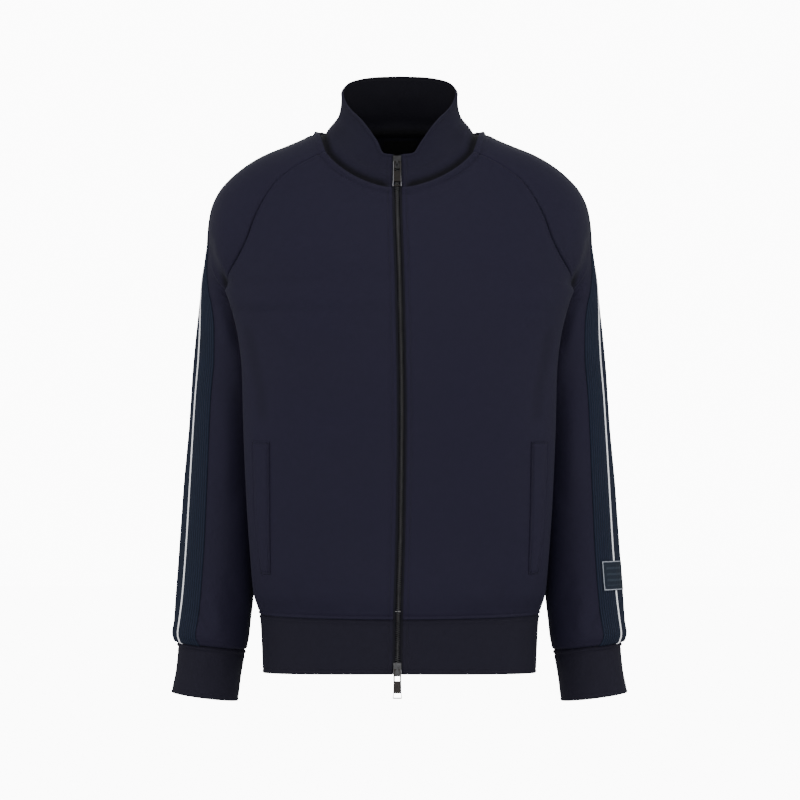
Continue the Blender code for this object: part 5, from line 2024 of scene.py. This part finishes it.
@dataclass(frozen=True)
class RowOfPieces:
    """Small pieces set along lines by a Geometry Nodes tree, then made one plain mesh."""

    name: str
    shape: RowShape
    size: tuple
    finish: Finishes
    segments: int = 8
    rings: int = 5
    crispness: float = 0.62

    INPUTS = ("Across", "Along", "Out")

    def tree(self) -> bpy.types.NodeTree:
        """Build the tree: a small piece on every point, turned by the point's two directions.

        Returns:
            The tree, whose named inputs are the piece's three sizes and its finish.
        """
        group = bpy.data.node_groups.new(self.name, "GeometryNodeTree")
        face = group.interface
        face.new_socket("Geometry", in_out="INPUT", socket_type="NodeSocketGeometry")
        for name in self.INPUTS:
            face.new_socket(name, in_out="INPUT", socket_type="NodeSocketFloat")
        face.new_socket("Finish", in_out="INPUT", socket_type="NodeSocketMaterial")
        face.new_socket("Geometry", in_out="OUTPUT", socket_type="NodeSocketGeometry")
        tree = NodeTree(group)
        given = tree.node("NodeGroupInput").outputs
        sides = dict(zip("XYZ", (given[name] for name in self.INPUTS)))
        size = tree.link("ShaderNodeCombineXYZ", {}, sides)
        if self.shape is RowShape.TOOTH:
            block = tree.link("GeometryNodeMeshCube", {}, {"Size": (1.0, 1.0, 1.0)}, out="Mesh")
            rounding = {"Mesh": block, "Level": 1, "Edge Crease": self.crispness}
            piece = tree.link("GeometryNodeSubdivisionSurface", {}, rounding, out="Mesh")
        else:
            ball = {"Segments": self.segments, "Rings": self.rings, "Radius": 0.5}
            piece = tree.link("GeometryNodeMeshUVSphere", {}, ball, out="Mesh")
        sized = tree.link("GeometryNodeTransform", {}, {"Geometry": piece, "Scale": size})
        along, out = (
            tree.link("GeometryNodeInputNamedAttribute", {"data_type": "FLOAT_VECTOR"}, {"Name": name})
            for name in ("along", "out")
        )
        turned = tree.link(
            "FunctionNodeAxesToRotation", {"primary_axis": "Z", "secondary_axis": "Y"},
            {"Primary Axis": out, "Secondary Axis": along},
        )
        placing = {"Points": given["Geometry"], "Instance": sized, "Rotation": turned}
        set_out = tree.link("GeometryNodeInstanceOnPoints", {}, placing)
        real = tree.link("GeometryNodeRealizeInstances", {}, {"Geometry": set_out})
        dressed = tree.link("GeometryNodeSetMaterial", {}, {"Geometry": real, "Material": given["Finish"]})
        tree.node("NodeGroupOutput", {}, {"Geometry": dressed})
        return group

    def build(self, rows: list[tuple]) -> bpy.types.Object:
        """Set the pieces on rows of points and make them a plain mesh.

        Args:
            rows: for each row its points in millimetres, the directions along it and those outwards.

        Returns:
            The object.
        """
        points, along, out = (np.concatenate([row[k] for row in rows]) for k in range(3))
        seeds = bpy.data.meshes.new(self.name + "_seeds")
        seeds.from_pydata(points * MM, [], [])
        for name, vectors in (("along", along), ("out", out)):
            kept = seeds.attributes.new(name, "FLOAT_VECTOR", "POINT")
            kept.data.foreach_set("vector", vectors.astype("f").ravel())
        holder = add_object(self.name + "_seeds", seeds)
        modifier = holder.modifiers.new("row", "NODES")
        modifier.node_group = self.tree()
        items = modifier.node_group.interface.items_tree
        sockets = {item.name: item.identifier for item in items if item.in_out == "INPUT"}
        for name, size in zip(self.INPUTS, self.size):
            modifier[sockets[name]] = size * MM
        modifier[sockets["Finish"]] = self.finish.material
        evaluated = holder.evaluated_get(bpy.context.evaluated_depsgraph_get())
        mesh = bpy.data.meshes.new_from_object(evaluated)
        holder.modifiers.remove(modifier)
        bpy.data.objects.remove(holder)
        mesh.name = self.name
        if self.finish.material.name not in mesh.materials:
            mesh.materials.clear()
            mesh.materials.append(self.finish.material)
        self.add_coordinates(mesh)
        mesh.shade_smooth()
        thing = add_object(self.name, mesh)
        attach(thing, BODY)
        self.finish.slot
        log.info("%s: %d pieces", self.name, len(points))
        return thing

    @staticmethod
    def add_coordinates(mesh: bpy.types.Mesh) -> None:
        """Give a mesh the cloth's coordinates from its place, for the thread's twist.

        Args:
            mesh: the mesh.
        """
        layer = mesh.uv_layers.get("cloth") or mesh.uv_layers.new(name="cloth")
        places = np.zeros(len(mesh.vertices) * 3, "f")
        mesh.vertices.foreach_get("co", places)
        places = places.reshape(-1, 3)[[loop.vertex_index for loop in mesh.loops]]
        layer.data.foreach_set("uv", places[:, [0, 2]].ravel())


def stitch_line(piece: ClothPiece, column: int | None, row: int | None, distance: float) -> tuple:
    """Follow an edge of a piece at a distance from it.

    Args:
        piece: the cloth.
        column: 0 or -1 to follow the first or last column.
        row: 0 or -1 to follow the first or last row.
        distance: how far in from the edge, in millimetres.

    Returns:
        The line's points on the outer surface and their normals.
    """
    across, along = piece.distances
    points, normals = piece.outer, piece.normals
    if column is not None:
        froms = across if column == 0 else across[:, -1:] - across
        lines = list(zip(froms, points, normals))
    else:
        froms = along if row == 0 else along[-1:] - along
        lines = list(zip(froms.T, np.moveaxis(points, 1, 0), np.moveaxis(normals, 1, 0)))
    found, facing = [], []
    for from_edge, line, line_normals in lines:
        order = np.argsort(from_edge)
        found.append(read_line(line[order], from_edge[order], distance))
        facing.append(read_line(line_normals[order], from_edge[order], distance))
    return np.array(found), unit(np.array(facing))


# How far ahead and behind a line is read for its direction, in millimetres.
REACH = 0.8


def spaced(
    line: np.ndarray, normals: np.ndarray, pitch: float, margin: float = 2.0, shift: float = 0.0
) -> tuple:
    """Space points evenly along a line.

    Args:
        line: the line's points in millimetres.
        normals: its normals.
        pitch: the step between points.
        margin: what is left free at both ends.
        shift: how far the first point is moved along.

    Returns:
        The points, the directions along the line and the outward directions.
    """
    distances = lengths(line)
    at = np.arange(margin + shift, distances[-1] - margin, pitch)
    points = read_line(line, distances, at)
    ahead = read_line(line, distances, np.minimum(at + REACH, distances[-1]))
    behind = read_line(line, distances, np.maximum(at - REACH, 0))
    return points, unit(ahead - behind), unit(read_line(normals, distances, at))


@dataclass
class Topstitching:
    """The rows of stitches on the cloth: beside the zip, and round the welts' three free edges."""

    pieces: dict
    pitch: float = 3.0
    stitch: tuple = (0.55, 2.5, 0.4)
    from_zip: float = 6.0
    from_welt_edge: float = 2.6
    zip_edges: tuple = (
        ("front_left", 0), ("front_right", -1), ("collar", 0), ("collar", -1), ("hem_band", 0),
        ("hem_band", -1),
    )
    welt_edges: tuple = (("pocket_welt_left", 0), ("pocket_welt_right", -1))

    def lines(self) -> list[tuple[np.ndarray, np.ndarray]]:
        """Follow all the edges that are sewn.

        Returns:
            Each line's points and their normals.
        """
        lines = [stitch_line(self.pieces[node], end, None, self.from_zip) for node, end in self.zip_edges]
        for node, column in self.welt_edges:
            for edge in ((column, None), (None, 0), (None, -1)):
                lines.append(stitch_line(self.pieces[node], *edge, self.from_welt_edge))
        return lines

    def build(self) -> bpy.types.Object:
        """Sew all the lines as one piece.

        Returns:
            The piece.
        """
        rows = [spaced(line, normals, self.pitch) for line, normals in self.lines()]
        return RowOfPieces("topstitching", RowShape.STITCH, self.stitch, Finishes.THREAD).build(rows)


@dataclass
class ZipClosure:
    """The zip: two tapes, the closed rows of teeth, and the sliders with their pulls."""

    pieces: dict
    tape_columns: tuple = (2.9, 4.5, ZIP_EDGE, 9.0, 13.0)
    tape_slope: float = 0.05
    tape_thickness: float = 0.7
    depth: float = 3.0
    proud: float = 1.0
    pitch: float = 2.6
    tooth: tuple = (3.7, 0.95, 2.3)
    tooth_middle: float = 1.05
    end_margin: float = 0.5
    level_count: int = 420
    closest: float = 0.3
    top_z: float = -43.0
    bottom_z: float = -680.5

    def edge(self, side: Side) -> tuple[np.ndarray, np.ndarray]:
        """Follow the zip's edge of the hem band, a front and the collar from the bottom up.

        Args:
            side: the wearer's side.

        Returns:
            The edge's points and their normals, without points that nearly coincide.
        """
        points, normals = [], []
        for node in ("hem_band", f"front_{side.word}", "collar"):
            piece = self.pieces[node]
            column = 0 if side is Side.LEFT else -1
            points.append(piece.grid[:, column])
            normals.append(unit(piece.normals[:, column] * (0, 1, 1)))
        points, normals = np.concatenate(points), np.concatenate(normals)
        steps = np.linalg.norm(np.diff(points, axis=0), axis=1)
        keep = np.concatenate([[True], steps > self.closest])
        return points[keep], normals[keep]

    def tape(self, side: Side) -> ClothPiece:
        """Make the tape behind one edge.

        Args:
            side: the wearer's side.

        Returns:
            The piece.
        """
        points, normals = self.edge(side)
        at = np.array(self.tape_columns) - ZIP_EDGE
        grid = points[:, None] + np.stack([at * side.value, 0 * at, 0 * at], axis=-1)
        grid = grid - normals[:, None] * (self.depth + self.tape_slope * np.abs(at))[None, :, None]
        if side is Side.RIGHT:
            grid = grid[:, ::-1]
        name = f"zip_tape_{side.word}"
        facts = SheetFacts("laid", (f"front_{side.word}", "collar", "hem_band"))
        return ClothPiece(name + "_woven", name, grid, Finishes.TAPE, facts, thickness=self.tape_thickness)

    def teeth(self) -> bpy.types.Object:
        """Set the teeth of both sides, which mesh down the middle.

        Returns:
            The teeth as one piece.
        """
        (left, left_out), (right, right_out) = self.edge(Side.LEFT), self.edge(Side.RIGHT)
        levels = np.linspace(self.bottom_z, self.top_z, self.level_count)
        middle = (read_line(left, left[:, 2], levels) + read_line(right, right[:, 2], levels)) / 2
        out = unit(read_line(left_out, left[:, 2], levels) + read_line(right_out, right[:, 2], levels))
        rows = []
        for side in Side:
            line = middle - out * (self.depth - self.proud + self.tooth[2] / 2)
            line[:, 0] += side.value * self.tooth_middle
            shift = self.pitch / 2 if side is Side.LEFT else 0.0
            rows.append(spaced(line, out, self.pitch, self.end_margin, shift))
        thing = RowOfPieces("zip_teeth", RowShape.TOOTH, self.tooth, Finishes.METAL).build(rows)
        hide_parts("zip_chain")
        return thing

    def dress_metal(self, frame: dict) -> None:
        """Give the sliders and the pulls their finish.

        Args:
            frame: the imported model.
        """
        finishes = {"zip_slider": Finishes.SLIDER, "zip_pull": Finishes.PULL}
        for kind, finish in finishes.items():
            for end in ("top", "bottom"):
                thing = frame["nodes"][f"{kind}_{end}"]
                thing.data.materials.clear()
                thing.data.materials.append(finish.material)

    def build(self, frame: dict) -> None:
        """Build the whole zip.

        Args:
            frame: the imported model.
        """
        for side in Side:
            self.tape(side).build()
        self.teeth()
        self.dress_metal(frame)


# ---- Studio ----


@dataclass(frozen=True)
class Softbox:
    """A soft lamp: where it stands, what it is aimed at, its sides in metres and its power in watts."""

    name: str
    place: tuple
    aim: tuple
    size: tuple
    power: float

    def build(self) -> None:
        """Set the lamp up."""
        lamp = bpy.data.lights.new(self.name, "AREA")
        lamp.shape = "RECTANGLE"
        lamp.size, lamp.size_y = self.size
        lamp.energy = self.power
        thing = add_object(self.name, lamp)
        thing.location = self.place
        thing.rotation_euler = (Vector(self.aim) - Vector(self.place)).to_track_quat("-Z", "Y").to_euler()


@dataclass
class Studio:
    """The floor, the light and the camera."""

    sensor_width: float = 36.0
    farthest: float = 50.0
    camera_distance: float = 5.5
    camera_x: float = 0.0007
    view_width: float = 1.024
    view_middle_z: float = -0.343
    floor_z: float = -0.86
    studio_radius: float = 8.0
    wall_top: float = 7.0
    sweep: float = 1.5
    sweep_rings: int = 13
    turns: int = 72
    world_light: float = 0.43
    lamps: tuple = (
        Softbox("front_softbox", (0, -4.4, 0.25), (0, 0, -0.35), (2.6, 2.2), 72),
        Softbox("left_softbox", (-3.2, -1.4, -0.25), (0, 0, -0.35), (1.4, 2.6), 50),
        Softbox("right_softbox", (3.2, -1.4, -0.25), (0, 0, -0.35), (1.4, 2.6), 50),
        Softbox("top_softbox", (0, -0.6, 2.6), (0, 0, 0), (2.4, 2.0), 20),
        Softbox("back_softbox", (0, 4.4, 0.6), (0, 0, -0.35), (2.4, 2.2), 30),
    )

    def floor(self) -> None:
        """Make the pale round floor, which sweeps up into a wall all round, behind the camera too."""
        tools = bmesh.new()
        inner = self.studio_radius - self.sweep
        rise = [
            (inner + self.sweep * math.sin(a), self.floor_z + self.sweep * (1 - math.cos(a)))
            for a in np.linspace(0, math.pi / 2, self.sweep_rings)
        ]
        rings = [
            [
                tools.verts.new((radius * math.cos(turn), radius * math.sin(turn), z))
                for turn in np.linspace(0, 2 * math.pi, self.turns, endpoint=False)
            ]
            for radius, z in rise + [(self.studio_radius, self.wall_top)]
        ]
        tools.faces.new(rings[0])
        for low, high in zip(rings, rings[1:]):
            for k in range(self.turns):
                after = (k + 1) % self.turns
                tools.faces.new([low[k], low[after], high[after], high[k]])
        mesh = bpy.data.meshes.new("studio_floor")
        tools.to_mesh(mesh)
        tools.free()
        mesh.materials.append(StageFinish("studio_white", 0.9, specular=0.0).material())
        mesh.shade_smooth()
        thing = add_object("studio_floor", mesh)
        thing.visible_diffuse = False
        thing.visible_glossy = False

    def camera(self) -> None:
        """Stand the camera level with the middle of the view."""
        lens = bpy.data.cameras.new("camera")
        lens.sensor_width = self.sensor_width
        lens.lens = self.sensor_width * self.camera_distance / self.view_width
        lens.clip_end = self.farthest
        thing = add_object("camera", lens)
        thing.location = (self.camera_x, -self.camera_distance, self.view_middle_z)
        thing.rotation_euler = (math.pi / 2, 0, 0)
        bpy.context.scene.camera = thing

    def build(self) -> None:
        """Set up the floor, the lamps, the even light all round and the camera."""
        world = bpy.data.worlds.new("studio")
        world.use_nodes = True
        background = world.node_tree.nodes["Background"]
        background.inputs["Color"].default_value = (1.0, 1.0, 1.0, 1.0)
        background.inputs["Strength"].default_value = self.world_light
        bpy.context.scene.world = world
        self.floor()
        self.camera()
        for lamp in self.lamps:
            lamp.build()


def main() -> None:
    """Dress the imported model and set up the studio."""
    logging.basicConfig(level=logging.INFO, format="%(name)s: %(message)s")
    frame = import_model()
    Studio().build()
    form = GarmentForm()
    pieces = {}
    for part in (
        TorsoPanels(form), Sleeve(form, Side.LEFT), Sleeve(form, Side.RIGHT), Collar(form), HemBand(form),
        PocketWelts(form),
    ):
        pieces.update(part.build())
    ZipClosure(pieces).build(frame)
    Topstitching(pieces).build()


if __name__ == "__main__":
    main()
